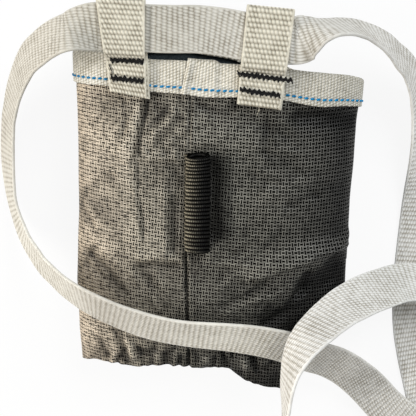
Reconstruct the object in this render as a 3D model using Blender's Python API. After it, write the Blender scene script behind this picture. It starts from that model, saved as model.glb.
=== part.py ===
"""Chalk bag lying on its back, with its waist belt, in metres, +Z up, +Y toward the mouth.

The bag is a flattened cloth tube with a base panel, a dark lining and a stiff band inside a folded
white binding round its rim. Two webbing loops are sewn to the front of the rim. A webbing belt runs
through both loops, lies round and across the bag and closes in a side release buckle. A ribbed
elastic loop for a brush hangs from the front seam.
"""

import bpy
import bmesh
import math
import numpy as np
from mathutils import Matrix, Vector

MM = 0.001

# Cloth tube: sections from the base (share 0) to the rim (share 1)
BAG_HEIGHT = 0.174
HALF_WIDTH = 0.080
WALL_THICKNESS = 0.0008
BACK_SINK = 0.0012
BACK_LIFT = 0.0027
BACK_LIFT_SHARES = (0.79, 0.895)
SECTION_SHARES = (0.0, 0.12, 0.28, 0.5, 0.75, 1.0)
CENTRE_X_MM = (-2.6, -2.6, -2.7, -1.4, 0.0, 1.0)
WIDTH_SHARES = (0.985, 0.992, 0.995, 0.985, 0.992, 1.010)
DEPTH_MM = (38.0, 43.0, 45.5, 47.5, 48.0, 47.5)
ROUNDING = (2.9, 3.0, 3.1, 3.1, 3.1, 3.1)

# Heights of the base seam and of the rim along the width, in millimetres
BASE_LINE_MM = (
    (-86.0, -1.6), (-80.0, -1.2), (-74.0, 0.6), (-64.0, 0.0), (-48.0, -2.2), (-33.0, -0.4), (-20.0, -1.4),
    (-8.0, -2.6), (2.0, -1.6), (9.0, -3.6), (15.0, -9.0), (24.0, -12.8), (34.0, -15.0), (41.0, -15.4),
    (48.0, -10.0), (55.0, -1.0), (62.0, 8.0), (69.0, 17.0), (75.0, 27.0), (84.0, 38.0),
)
FRONT_RIM_MM = (
    (-86.0, 179.4), (-76.0, 178.6), (-62.0, 177.6), (-50.0, 176.2), (-36.0, 174.8), (-16.0, 173.9),
    (12.0, 172.0), (38.0, 168.8), (50.0, 166.8), (60.0, 165.8), (72.0, 165.2), (86.0, 162.4),
)
BACK_RIM_MM = (
    (-86.0, 179.4), (-76.0, 182.0), (-60.0, 186.0), (-40.0, 188.6), (-15.0, 188.6), (10.0, 184.6),
    (32.0, 175.0), (50.0, 167.0), (62.0, 164.6), (86.0, 162.4),
)

# Creases pressed into the front: start, end, half breadth and depth, in millimetres
CREASES_MM = (
    ((-37.0, 152.0), (-42.0, 92.0), 7.0, 1.5),
    ((-76.0, 88.0), (-50.0, 28.0), 7.5, 1.2),
    ((-60.0, 96.0), (-34.0, 52.0), 8.0, 0.7),
    ((40.0, 82.0), (70.0, 44.0), 8.0, 1.3),
    ((30.0, 60.0), (64.0, 22.0), 8.0, 0.9),
    ((16.0, 22.0), (10.0, -4.0), 7.0, 1.2),
    ((46.0, 16.0), (64.0, 12.0), 14.0, 6.5),
)

# Layers under the wall at the rim: each starts a small gap inside the one before
LAYER_GAP = 0.0003
STIFFENER_THICKNESS = 0.0008
STIFFENER_HEIGHT = 0.0125
LINING_THICKNESS = 0.0012
LINING_TOP_DROP = 0.0005
BASE_PANEL_RECESS = 0.0025
BASE_PANEL_THICKNESS = 0.0010
PANEL_SHARE = 0.02
PANEL_END_GAP = 0.0006
PANEL_EDGE_GAP = 0.0005
PANEL_COLUMNS = 40
LINING_FOOT_GAP = 0.0021
LINING_TOP_SHARE = 0.93

# Where the height of the rim passes from its back line to its front line, in shares of the depth
RIM_BLEND_SHARES = (0.25, 0.75)
CREASE_FADE_SHARE = 0.12

# Height of the part's origin above the base seam, in the middle of the flat back
ORIGIN_Y = 0.080

# Folded binding, its outer leaf a little shorter round the right side
TAPE_THICKNESS = 0.0012
BINDING_GAP = 0.0005
BINDING_OUTER_LEAF = 0.0163
LEAF_LENGTH_SHARES = ((-86.0, 0.90), (-70.0, 1.0), (58.0, 1.0), (74.0, 0.92), (86.0, 0.80))
BINDING_INNER_LEAF = 0.0080
BINDING_END_X = -0.0178
BINDING_END_SLANT = 0.0034
BINDING_LAP = 0.0150
BINDING_RAMP = 0.0050
FOLD_SHOULDER_SHARE = 0.72
FOLD_CORNER_SHARE = 0.35
STITCH_DROP = 0.0128
STITCH_RADIUS = 0.00025

# Belt loops: foot of the outer leaf, lean of the loop, slope of its ends
LOOP_WIDTH = 0.0245
LOOP_THICKNESS = 0.0016
LEFT_LOOP_FOOT_MM = (-47.4, 155.9)
LEFT_LOOP_LEAN = -0.100
LEFT_LOOP_SLOPE = -0.190
LEFT_CROWN_SLOPE = -0.060
LEFT_LOOP_LENGTH = 0.0514
RIGHT_LOOP_FOOT_MM = (22.3, 149.7)
RIGHT_LOOP_LEAN = 0.112
RIGHT_LOOP_SLOPE = -0.130
RIGHT_CROWN_SLOPE = -0.100
RIGHT_LOOP_LENGTH = 0.0516
LOOP_BELT_GAP = 0.0004
LOOP_SHOULDER_SHARE = 0.86
LEFT_LOWER_LEAF_SHIFT = 0.0024
RIGHT_LOWER_LEAF_SHIFT = 0.0008
LEFT_CLIMB_DROP = 0.0004
RIGHT_CLIMB_DROP = 0.0026
FRONT_MEASURE_DROP = 0.004
BELT_PLANE = 0.0529

# Middle line of a loop's strip, from the foot of its upper leaf over the belt to its lower foot:
# level, height over it, line it drops from and drop, in millimetres
LOOP_PATH_MM = (
    ("upper", -1.4, "foot", 0.0), ("upper", -0.9, "foot", -2.6), ("upper", 0.0, "foot", -5.8),
    ("upper", 0.0, "rim", 6.0), ("upper", 0.0, "climb", 0.0), ("over", -0.3, "climb", -2.8),
    ("over", 0.0, "climb", -5.2), ("over", 0.0, "rim", -16.0),
    ("over", 0.0, "crown", 3.4), ("over_shoulder", 0.0, "crown", 1.4), ("over_half", 0.0, "crown", 0.3),
    ("middle", 0.0, "crown", 0.0), ("under_half", 0.0, "crown", 0.3), ("under_shoulder", 0.0, "crown", 1.4),
    ("under", 0.0, "crown", 3.4), ("under", 0.0, "rim", -16.0), ("under", 0.0, "rim", -5.0),
    ("lower", 0.0, "rim", 1.2), ("lower", 0.0, "rim", 6.0), ("lower", 0.0, "foot", -5.8),
    ("lower", -0.9, "foot", -2.6), ("lower", -1.4, "foot", 0.4),
)

# Bar tacks: two points of each row, half height of its zigzag, thread radius
TACK_RADIUS = 0.00036
TACK_PITCH = 0.0013
TACK_ROWS_MM = (
    ("bartack_left_upper", (-57.2, 174.8), (-39.3, 173.4), 0.75),
    ("bartack_left_lower", (-56.8, 165.0), (-39.0, 163.2), 1.15),
    ("bartack_right_upper", (11.2, 167.5), (38.6, 163.5), 0.85),
    ("bartack_right_lower", (12.4, 158.9), (33.4, 155.7), 1.25),
)

# Brush loop
TUBE_CENTRE_MM = (-10.5, 97.8, 53.6)
TUBE_LENGTH = 0.0545
TUBE_HALF_WIDTH = 0.0071
TUBE_HALF_HEIGHT = 0.0052
TUBE_WALL = 0.0012
TUBE_RIBS = 24
RIB_HEIGHT = 0.0006
TUBE_EDGE_MM = (-18.2, 48.2)
TUBE_SWING_MM = (-18.2, 97.8, 48.2)
TUBE_EDGE_HALF = 0.0005

# Belt: centre points from the socket to the plug with the lean of the webbing in degrees
BELT_WIDTH = 0.025
BELT_THICKNESS = 0.0018
BELT_POINTS_MM = (
    (109.4, -119.0, 7.2, 0), (113.6, -119.0, 9.0, 0), (118.0, -118.4, 9.8, -16), (126.0, -115.0, 11.6, -55),
    (134.0, -107.5, 13.2, -80), (140.0, -96.5, 13.3, -80), (142.4, -84.0, 9.6, -46),
    (141.8, -71.0, 3.4, -10), (139.2, -57.0, 1.4, 0),
    (136.0, -42.0, 1.4, 0), (131.5, -24.0, 1.4, 0), (127.0, -5.0, 1.4, 0), (124.0, 12.0, 1.4, 0),
    (123.0, 32.0, 1.4, 0), (123.6, 52.0, 1.6, 0), (125.0, 72.0, 1.8, 1), (126.0, 88.0, 2.5, 4),
    (126.3, 100.0, 4.1, 11), (126.0, 110.7, 6.1, 21), (125.3, 120.3, 7.9, 30), (124.3, 129.7, 9.5, 37),
    (122.9, 138.6, 11.0, 42), (121.2, 146.5, 12.9, 45), (118.8, 154.1, 15.7, 47), (115.9, 161.1, 18.9, 49),
    (112.2, 167.1, 22.4, 49), (107.2, 172.8, 26.8, 50), (101.3, 177.6, 31.5, 53), (94.4, 183.0, 36.6, 57),
    (86.8, 187.3, 41.1, 61), (79.0, 190.1, 45.2, 63), (71.4, 191.4, 49.6, 65), (63.6, 191.6, 53.6, 66),
    (57.8, 191.0, 55.8, 62), (52.8, 189.6, 56.4, 51), (48.8, 187.5, 55.4, 34), (46.0, 186.0, 53.9, 12),
    (43.6, 184.7, 53.1, 0), (41.2, 184.4, 53.0, 0), (38.6, 184.4, 52.9, 0),
    (33.4, 184.6, 52.9, 0), (26.5, 185.1, 52.9, 0), (15.2, 186.7, 52.9, 0), (2.9, 188.9, 52.9, 0),
    (-9.9, 190.3, 52.9, 0),
    (-23.7, 190.4, 52.9, 0), (-37.5, 190.8, 52.9, 0), (-51.2, 191.6, 52.9, 0), (-59.1, 191.9, 52.9, 0),
    (-65.0, 191.8, 52.9, 0), (-69.0, 191.2, 53.4, 8), (-73.5, 190.4, 54.3, 20), (-78.7, 189.1, 55.0, 32),
    (-87.7, 185.9, 50.9, 36), (-96.1, 181.4, 45.1, 38), (-102.9, 176.6, 39.6, 42), (-107.6, 171.6, 34.4, 46),
    (-112.1, 165.2, 29.1, 51), (-116.1, 157.6, 24.5, 55), (-119.4, 148.8, 20.3, 58), (-121.6, 141.2, 17.1, 59),
    (-123.0, 132.0, 14.7, 60), (-123.8, 122.9, 13.3, 60), (-124.0, 112.7, 12.7, 61), (-123.5, 103.7, 12.8, 63),
    (-122.1, 93.1, 13.7, 65), (-119.8, 84.5, 14.7, 64), (-116.4, 75.9, 16.8, 61), (-112.3, 68.5, 19.8, 59),
    (-107.2, 62.0, 23.7, 55), (-102.1, 57.0, 27.9, 52), (-95.6, 52.4, 33.7, 50), (-88.4, 48.1, 39.9, 48),
    (-80.2, 44.2, 46.1, 46), (-68.4, 39.4, 51.8, 45), (-56.4, 34.5, 53.8, 44), (-47.1, 31.1, 54.3, 42),
    (-37.3, 28.0, 54.5, 41), (-27.0, 25.6, 54.6, 41), (-16.9, 23.9, 54.5, 40), (-5.4, 22.7, 54.1, 38),
    (6.4, 21.5, 53.4, 36), (18.6, 19.6, 52.0, 33), (29.6, 17.0, 50.0, 31), (40.5, 13.4, 47.0, 28),
    (50.8, 8.8, 44.8, 24), (59.0, 4.3, 38.8, 21), (68.1, -1.1, 30.6, 19), (77.0, -7.6, 23.4, 17),
    (85.3, -15.0, 16.8, 14), (92.5, -22.3, 11.4, 9), (99.1, -29.8, 7.2, 4), (106.6, -38.4, 4.9, 0),
    (117.0, -47.6, 4.2, 0), (130.0, -56.0, 4.0, 0),
    (144.0, -61.5, 4.2, 3), (159.0, -62.5, 6.4, 18), (173.0, -57.0, 9.8, 42), (184.0, -45.0, 12.6, 66),
    (190.0, -28.0, 13.5, 80), (189.0, -9.0, 13.7, 80), (181.0, 9.0, 13.7, 74), (168.0, 24.0, 13.7, 64),
    (153.0, 34.5, 14.0, 54), (137.0, 41.0, 14.6, 46), (124.0, 43.8, 16.2, 41), (112.0, 44.6, 20.0, 39),
    (98.8, 43.8, 29.0, 40), (84.6, 42.2, 40.6, 43), (77.3, 40.6, 46.8, 46), (70.2, 38.6, 53.0, 51),
    (63.1, 35.5, 58.9, 55), (55.9, 31.5, 65.0, 59), (49.1, 26.6, 70.6, 63), (43.4, 20.4, 74.6, 69),
    (39.4, 12.8, 76.6, 76), (37.2, 3.4, 77.2, 82), (36.4, -7.4, 75.6, 86), (36.2, -18.6, 71.0, 93),
    (36.2, -30.4, 62.6, 102), (35.8, -42.6, 51.4, 106), (34.8, -55.0, 39.4, 107), (33.6, -68.0, 28.4, 107),
    (32.6, -81.0, 20.0, 107), (33.0, -94.0, 15.0, 107), (36.4, -106.0, 13.2, 112), (43.0, -115.0, 11.6, 138),
    (50.0, -118.6, 9.6, 172), (54.2, -119.0, 9.0, 180), (58.4, -119.0, 7.2, 180),
)

# Side release buckle, its centre line along X
BUCKLE_Y = -0.119
BUCKLE_HALF_WIDTH = 0.0158
BUCKLE_THICKNESS = 0.0108
BUCKLE_FLOOR_GAP = 0.0002
SOCKET_START_X = 0.0800
SOCKET_BODY_END_X = 0.1040
SOCKET_END_X = 0.1148
PLUG_START_X = 0.0530
PLUG_BODY_START_X = 0.0640
PLUG_BODY_END_X = 0.0792
BUCKLE_WALL = 0.0018
BUCKLE_EDGE_ROUND = 0.0012
BUCKLE_SIDE_WALL = 0.0030
BUCKLE_CLEARANCE = 0.0008
WINDOW_START_X = 0.0858
WINDOW_END_X = 0.0972
TAIL_LOW = 0.0030
TAIL_HIGH = 0.0066
TAIL_OUTER_BAR = 0.0030
TAIL_INNER_BAR = 0.0024
SLOT_HALF = 0.0133
TONGUE_END_X = 0.0972
TONGUE_HALF = 0.0024
TONGUE_LOW = 0.0042
TONGUE_HIGH = 0.0070
PRONG_LOW = 0.0030
PRONG_HEIGHT = 0.0052
PRONG_ROOT_MM = (79.8, 9.2)
PRONG_OUTLINE_MM = (
    (79.6, 8.1), (84.0, 8.4), (89.0, 9.4), (96.6, 9.2), (97.0, 10.6), (93.6, 13.6), (90.2, 15.2),
    (86.4, 15.4), (86.2, 12.2), (84.0, 10.9), (79.6, 10.5),
)
CUTTER_REACH = 0.002

# Mesh fineness
RING_STEPS = 60
WALL_ROWS = 13
LINING_STEPS = 44
BELT_STEPS = 230

for old in list(bpy.data.objects):
    bpy.data.objects.remove(old, do_unlink=True)


def material(name, colour, roughness, metallic=0.0):
    made = bpy.data.materials.new(name)
    made.use_nodes = True
    shader = made.node_tree.nodes["Principled BSDF"]
    shader.inputs["Base Color"].default_value = (*colour, 1.0)
    shader.inputs["Roughness"].default_value = roughness
    shader.inputs["Metallic"].default_value = metallic
    return made


CLOTH = material("grey_scrim_cloth", (0.16, 0.15, 0.14), 0.45)
LINING = material("dark_lining", (0.03, 0.035, 0.04), 0.85)
TAPE = material("white_binding_tape", (0.80, 0.79, 0.76), 0.80)
WEBBING = material("white_webbing", (0.78, 0.77, 0.73), 0.75)
BLACK_THREAD = material("black_thread", (0.02, 0.02, 0.02), 0.60)
BLUE_THREAD = material("blue_thread", (0.02, 0.22, 0.60), 0.55)
ELASTIC = material("black_ribbed_elastic", (0.03, 0.03, 0.028), 0.55)
BAND = material("white_plastic_band", (0.75, 0.75, 0.74), 0.40)
BUCKLE = material("black_acetal", (0.02, 0.02, 0.022), 0.35)


def make(name, points, faces, skin, smooth=True):
    mesh = bpy.data.meshes.new(name)
    mesh.from_pydata([tuple(p) for p in points], [], faces)
    sorter = bmesh.new()
    sorter.from_mesh(mesh)
    bmesh.ops.recalc_face_normals(sorter, faces=sorter.faces)
    sorter.to_mesh(mesh)
    sorter.free()
    mesh.materials.append(skin)
    for face in mesh.polygons:
        face.use_smooth = smooth
    made = bpy.data.objects.new(name, mesh)
    bpy.context.scene.collection.objects.link(made)
    return made


def loft(sections, closed_path=False):
    """Faces over a list of equal closed sections, with caps unless the path closes."""
    rows, across = len(sections), len(sections[0])
    faces = []
    for i in range(rows if closed_path else rows - 1):
        here, there = i * across, ((i + 1) % rows) * across
        for j in range(across):
            k = (j + 1) % across
            faces.append((here + j, here + k, there + k, there + j))
    if not closed_path:
        faces.append(tuple(range(across)))
        faces.append(tuple((rows - 1) * across + j for j in range(across)))
    return [p for section in sections for p in section], faces


def sampled(pairs, at, scale=MM):
    table = np.array(pairs, float) * scale
    return np.interp(at, table[:, 0], table[:, 1])


def smooth_table(pairs):
    """The same line rounded over its corners, as a dense table in metres."""
    table = np.array(pairs, float) * MM
    fine = np.linspace(table[0, 0], table[-1, 0], 260)
    raw = np.interp(fine, table[:, 0], table[:, 1])
    kernel = np.hanning(17)
    padded = np.concatenate([np.full(8, raw[0]), raw, np.full(8, raw[-1])])
    return fine, np.convolve(padded, kernel / kernel.sum(), mode="valid")


BASE_LINE = smooth_table(BASE_LINE_MM)
FRONT_RIM = smooth_table(FRONT_RIM_MM)
BACK_RIM = smooth_table(BACK_RIM_MM)


def crease_depth(x, y):
    depth = np.zeros_like(x)
    for start, end, breadth, deep in CREASES_MM:
        a, b = np.array(start) * MM, np.array(end) * MM
        run = b - a
        along = ((x - a[0]) * run[0] + (y - a[1]) * run[1]) / (run @ run)
        held = np.clip(along, 0.0, 1.0)
        gap = np.hypot(x - a[0] - held * run[0], y - a[1] - held * run[1])
        depth += deep * MM * np.exp(-((gap / (breadth * MM)) ** 2))
    return depth


def section_ring(turns, share):
    """X and Z of the tube's section at one height share, and its outward normals."""
    centre = np.interp(share, SECTION_SHARES, CENTRE_X_MM) * MM
    half = np.interp(share, SECTION_SHARES, WIDTH_SHARES) * HALF_WIDTH
    rise = np.interp(share, SECTION_SHARES, DEPTH_MM) * MM / 2
    power = 2 / np.interp(share, SECTION_SHARES, ROUNDING)
    angle = np.linspace(-math.pi / 2, 1.5 * math.pi, 1441)
    cos, sin = np.cos(angle), np.sin(angle)
    x = centre + half * np.sign(cos) * np.abs(cos) ** power
    z = rise - BACK_SINK + (rise + BACK_SINK / 2) * np.sign(sin) * np.abs(sin) ** power
    run = np.concatenate([[0.0], np.cumsum(np.hypot(np.diff(x), np.diff(z)))])
    even = np.linspace(0.0, run[-1], 1441)
    x, z = np.interp(even, run, x), np.interp(even, run, z)
    dx, dz = np.gradient(x), np.gradient(z)
    dx[0] = dx[-1] = x[1] - x[-2]
    dz[0] = dz[-1] = z[1] - z[-2]
    size = np.hypot(dx, dz)
    nx, nz = dz / size, -dx / size
    at = np.asarray(turns) % 1.0
    grid = np.linspace(0.0, 1.0, 1441)
    return [np.interp(at, grid, values) for values in (x, z, nx, nz)]


def wall_points(turns, share=None, drop=None, inset=0.0):
    """Points of the tube at one share of its height, or at one drop below its rim."""
    shape_share = share if drop is None else 1.0 - drop / BAG_HEIGHT
    x, z, nx, nz = section_ring(turns, min(shape_share, 1.0))
    depth = np.interp(min(shape_share, 1.0), SECTION_SHARES, DEPTH_MM) * MM
    front = np.interp(x, *FRONT_RIM)
    back = np.interp(x, *BACK_RIM)
    blend_start, blend_end = RIM_BLEND_SHARES
    blend = np.clip((z / depth - blend_start) / (blend_end - blend_start), 0.0, 1.0)
    blend = blend * blend * (3 - 2 * blend)
    rim = back + (front - back) * blend
    base = np.interp(x, *BASE_LINE)
    y = rim - drop if drop is not None else base + share * (rim - base)
    fade = np.clip((1.0 - (y - base) / (rim - base)) / CREASE_FADE_SHARE, 0.0, 1.0) * np.clip(nz, 0.0, 1.0)
    lift = BACK_LIFT * np.interp(min(shape_share, 1.0), BACK_LIFT_SHARES, (0.0, 1.0))
    z = np.maximum(z - nz * inset - crease_depth(x, y) * fade, inset + lift)
    return np.stack([x - nx * inset, y, z], axis=1)


def front_height(x):
    """Z of the wall's outer face on the front near the rim."""
    ring = wall_points(np.linspace(0.25, 0.75, 241), drop=FRONT_MEASURE_DROP)
    order = np.argsort(ring[:, 0])
    return np.interp(x, ring[order, 0], ring[order, 2])


def tube_of_rows(name, outer_rows, inner_rows, skin):
    """A closed sleeve between an outer and an inner stack of rings."""
    rings = list(outer_rows) + list(reversed(inner_rows))
    return make(name, *loft(rings, closed_path=True), skin)


TURNS = np.arange(RING_STEPS) / RING_STEPS


# Wall of the bag
shares = [0.0, PANEL_SHARE, 0.055] + list(np.linspace(0.11, 1.0, WALL_ROWS))
outer = [wall_points(TURNS, share=s) for s in shares]
inner = [wall_points(TURNS, share=s, inset=WALL_THICKNESS) for s in shares]
tube_of_rows("body_wall", outer, inner, CLOTH)


def disc(name, inset, recess, thickness, skin):
    """A sheet across the tube whose height follows the base seam along X."""
    edge = wall_points(np.arange(480) / 480, share=PANEL_SHARE, inset=inset)
    left, right = edge[:, 0].argmin(), edge[:, 0].argmax()
    front, back = edge[right:left], np.concatenate([edge[left:], edge[:right]])
    front, back = front[front[:, 0].argsort()], back[back[:, 0].argsort()]
    spread = (1 - np.cos(np.linspace(0.0, math.pi, PANEL_COLUMNS))) / 2
    start, end = edge[left, 0] + PANEL_END_GAP, edge[right, 0] - PANEL_END_GAP
    x = start + (end - start) * spread
    low = np.interp(x, back[:, 0], back[:, 2]) + PANEL_EDGE_GAP
    high = np.interp(x, front[:, 0], front[:, 2]) - PANEL_EDGE_GAP
    y = np.interp(x, *BASE_LINE) + recess
    sections = []
    for px, py, z0, z1 in zip(x, y, low, high):
        rows = [(px, py, z0 + (z1 - z0) * t) for t in (0.0, 0.5, 1.0)]
        rows += [(px, py + thickness, z0 + (z1 - z0) * t) for t in (1.0, 0.5, 0.0)]
        sections.append(rows)
    return make(name, *loft(sections), skin)


PANEL_INSET = WALL_THICKNESS + 3 * LAYER_GAP
disc("base_panel", PANEL_INSET, BASE_PANEL_RECESS, BASE_PANEL_THICKNESS, CLOTH)
LINING_BASE_RECESS = BASE_PANEL_RECESS + BASE_PANEL_THICKNESS + 5 * LAYER_GAP
disc("lining_base", PANEL_INSET + LAYER_GAP, LINING_BASE_RECESS, LINING_THICKNESS, LINING)

# Lining of the wall
STIFFENER_INSET = WALL_THICKNESS + LAYER_GAP
LINING_INSET = STIFFENER_INSET + STIFFENER_THICKNESS + 2 * LAYER_GAP
LINING_FOOT = LINING_BASE_RECESS + LINING_THICKNESS + LINING_FOOT_GAP
lining_rows = np.linspace(LINING_FOOT / BAG_HEIGHT, LINING_TOP_SHARE, 11)


def lining_stack(inset):
    turns = np.arange(LINING_STEPS) / LINING_STEPS
    rows = [wall_points(turns, share=s, inset=inset) for s in lining_rows]
    rows.append(wall_points(turns, drop=LINING_TOP_DROP, inset=inset))
    return rows


tube_of_rows("lining_wall", lining_stack(LINING_INSET), lining_stack(LINING_INSET + LINING_THICKNESS), LINING)

# Stiff band inside the binding
band_drops = (STIFFENER_HEIGHT, STIFFENER_HEIGHT / 2, LINING_TOP_DROP)
tube_of_rows(
    "rim_stiffener",
    [wall_points(TURNS, drop=d, inset=STIFFENER_INSET) for d in band_drops],
    [wall_points(TURNS, drop=d, inset=STIFFENER_INSET + STIFFENER_THICKNESS) for d in band_drops],
    BAND,
)

# Folded binding: inset, drop and the direction in which a second layer lies over the first
BINDING_INNER_INSET = LINING_INSET + LINING_THICKNESS + BINDING_GAP + LAYER_GAP
LEAF_OUT = -BINDING_GAP - TAPE_THICKNESS
LEAF_IN = BINDING_INNER_INSET + TAPE_THICKNESS
FOLD_TOP = -BINDING_GAP - TAPE_THICKNESS
BINDING_PROFILE = (
    (LEAF_OUT, BINDING_OUTER_LEAF, -1.0, 0.0),
    (LEAF_OUT, BINDING_OUTER_LEAF / 2, -1.0, 0.0),
    (LEAF_OUT, 0.0, -1.0, 0.0),
    (LEAF_OUT + FOLD_CORNER_SHARE * TAPE_THICKNESS, FOLD_TOP * FOLD_SHOULDER_SHARE, -0.7, -0.7),
    (0.0, FOLD_TOP, 0.0, -1.0),
    (LINING_INSET, FOLD_TOP, 0.0, -1.0),
    (LEAF_IN - FOLD_CORNER_SHARE * TAPE_THICKNESS, FOLD_TOP * FOLD_SHOULDER_SHARE, 0.7, -0.7),
    (LEAF_IN, 0.0, 1.0, 0.0),
    (LEAF_IN, BINDING_INNER_LEAF, 1.0, 0.0),
    (BINDING_INNER_INSET, BINDING_INNER_LEAF, 1.0, 0.0),
    (BINDING_INNER_INSET, 0.0, 1.0, 0.0),
    (LINING_INSET + LINING_THICKNESS / 2, -BINDING_GAP, 0.0, -1.0),
    (0.0, -BINDING_GAP, 0.0, -1.0),
    (-BINDING_GAP, 0.0, -1.0, 0.0),
    (-BINDING_GAP, BINDING_OUTER_LEAF / 2, -1.0, 0.0),
    (-BINDING_GAP, BINDING_OUTER_LEAF, -1.0, 0.0),
)
LAP_LIFT = TAPE_THICKNESS + LAYER_GAP


def rim_turn(x):
    """Turn of the front rim at one X."""
    turns = np.linspace(0.25, 0.75, 961)
    ring = wall_points(turns, drop=0.0)
    return float(np.interp(-x, -ring[:, 0], turns))


END_TURN = rim_turn(BINDING_END_X)
START_TURN = rim_turn(BINDING_END_X + BINDING_LAP)
LEVEL_TURN = rim_turn(BINDING_END_X + BINDING_LAP + BINDING_RAMP / 4)
RAMP_TURN = rim_turn(BINDING_END_X + BINDING_LAP + BINDING_RAMP)
SLANT_TURN = rim_turn(BINDING_END_X - BINDING_END_SLANT) - END_TURN


def lap_lift(turn):
    """Lift of the tape's second layer over its first, along the turns of the rim."""
    part = np.clip((turn - 1.0 - RAMP_TURN) / (LEVEL_TURN - RAMP_TURN), 0.0, 1.0)
    return part * part * (3 - 2 * part) * LAP_LIFT


def on_binding(turn, inset, drop, side=0.0, top=0.0, lift=0.0):
    """A point of the tape, whose leaf keeps straight from the fold down to its edge."""
    fold = wall_points(np.array([turn]), drop=0.0, inset=inset + side * lift)[0]
    edge = wall_points(np.array([turn]), drop=BINDING_OUTER_LEAF, inset=inset + side * lift)[0]
    share = max(drop / BINDING_OUTER_LEAF, 0.0)
    stretch = sampled(LEAF_LENGTH_SHARES, fold[0] / MM, 1.0) if drop > 0 else 1.0
    x, z = fold[0] + (edge[0] - fold[0]) * share, fold[2] + (edge[2] - fold[2]) * share
    return x, fold[1] - drop * stretch - top * lift, z


tape_turns = np.concatenate([
    np.linspace(START_TURN, 1.0 + RAMP_TURN, RING_STEPS),
    np.linspace(1.0 + RAMP_TURN, 1.0 + LEVEL_TURN, 5)[1:],
    np.linspace(1.0 + LEVEL_TURN, 1.0 + END_TURN, 6)[1:],
])
sections = []
for turn in tape_turns:
    lift = lap_lift(turn)
    slant = SLANT_TURN * np.clip((turn - 1.0 - LEVEL_TURN) / (END_TURN - LEVEL_TURN), 0.0, 1.0)
    sections.append([
        on_binding(turn + slant * (drop / BINDING_OUTER_LEAF - 0.5), inset, drop, side, top, lift)
        for inset, drop, side, top in BINDING_PROFILE
    ])
make("rim_binding", *loft(sections), TAPE)


def thread(name, centres, radius, skin, closed_path=False, around=6):
    """A round thread along a list of points."""
    points = np.array(centres)
    if closed_path:
        run = np.roll(points, -1, axis=0) - np.roll(points, 1, axis=0)
    else:
        run = np.gradient(points, axis=0)
    rings = []
    for centre, along in zip(points, run):
        along = Vector(along).normalized()
        across = along.cross(Vector((0.0, 0.3, 1.0))).normalized()
        rise = across.cross(along)
        ring = []
        for k in range(around):
            angle = 2 * math.pi * k / around
            ring.append(Vector(centre) + radius * (math.cos(angle) * across + math.sin(angle) * rise))
        rings.append(ring)
    return make(name, *loft(rings, closed_path), skin)


# Topstitch round the binding, lifted over the tape's second layer
STITCH_INSET = LEAF_OUT - LAYER_GAP - STITCH_RADIUS
STITCH_STEPS = 90
RISE_TURN = 0.010
stitch = []
for turn in np.arange(STITCH_STEPS) / STITCH_STEPS:
    up = np.clip((turn - RAMP_TURN + 1.5 * RISE_TURN) / RISE_TURN, 0.0, 1.0)
    down = np.clip((END_TURN + 1.8 * RISE_TURN - turn) / RISE_TURN, 0.0, 1.0)
    stitch.append(on_binding(turn, STITCH_INSET, STITCH_DROP, side=-1.0, lift=LAP_LIFT * min(up, down)))
thread("binding_topstitch", stitch, STITCH_RADIUS, BLUE_THREAD, closed_path=True, around=5)


# Belt loops: both leaves on the front of the rim, the levels of the strip's middle over the front or the belt
LOWER_LEAF_HEIGHT = -STITCH_INSET + STITCH_RADIUS + LAYER_GAP + LOOP_THICKNESS / 2
UPPER_LEAF_HEIGHT = LOWER_LEAF_HEIGHT + LOOP_THICKNESS + LAYER_GAP
BELT_CLEAR = BELT_THICKNESS / 2 + LOOP_BELT_GAP + LOOP_THICKNESS / 2
FRONT_LEVELS = {"upper": UPPER_LEAF_HEIGHT, "lower": LOWER_LEAF_HEIGHT}
BELT_LEVELS = {
    "over": BELT_CLEAR,
    "over_shoulder": BELT_CLEAR * LOOP_SHOULDER_SHARE,
    "over_half": BELT_CLEAR / 2,
    "middle": 0.0,
    "under_half": -BELT_CLEAR / 2,
    "under_shoulder": -BELT_CLEAR * LOOP_SHOULDER_SHARE,
    "under": -BELT_CLEAR,
}


def belt_loop(name, foot, lean, slope, crown_slope, length, shift, climb):
    """A strip folded over the belt, both its leaves running down over the rim's front."""
    foot_x, foot_y = foot[0] * MM, foot[1] * MM
    rim = float(np.interp(foot_x, *FRONT_RIM))
    front = float(front_height(foot_x))
    lines = {"foot": rim - foot_y, "rim": 0.0, "climb": climb, "crown": rim - foot_y - length}
    path, on_front = [], []
    for level, rise, line, drop in LOOP_PATH_MM:
        base = front + FRONT_LEVELS[level] if level in FRONT_LEVELS else BELT_PLANE + BELT_LEVELS[level]
        path.append((base + rise * MM, lines[line] + drop * MM))
        on_front.append(level in FRONT_LEVELS)
    path = np.array(path)
    run = np.gradient(path, axis=0)
    run /= np.linalg.norm(run, axis=1)[:, None]
    side = np.stack([-run[:, 1], run[:, 0]], axis=1)
    turned = path[:, 1].argmin()
    lower = np.clip((path[:, 1] - lines["crown"]) / length, 0.0, 1.0) * (np.arange(len(path)) > turned)
    rows = []
    across = np.linspace(-LOOP_WIDTH / 2, LOOP_WIDTH / 2, 5)
    for sign in (1.0, -1.0):
        for a in across if sign > 0 else across[::-1]:
            line = path + sign * side * LOOP_THICKNESS / 2
            up = rim - line[:, 1]
            x = foot_x + lean * (up - foot_y) + a + shift * lower
            y = up + a * np.interp(line[:, 1], (lines["rim"], lines["foot"]), (crown_slope, slope))
            z = line[:, 0] + np.where(on_front, front_height(x) - front, 0.0)
            rows.append(np.stack([x, y, z], axis=1))
    stations = [[tuple(row[i]) for row in rows] for i in range(len(path))]
    make(name, *loft(stations), WEBBING)


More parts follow.
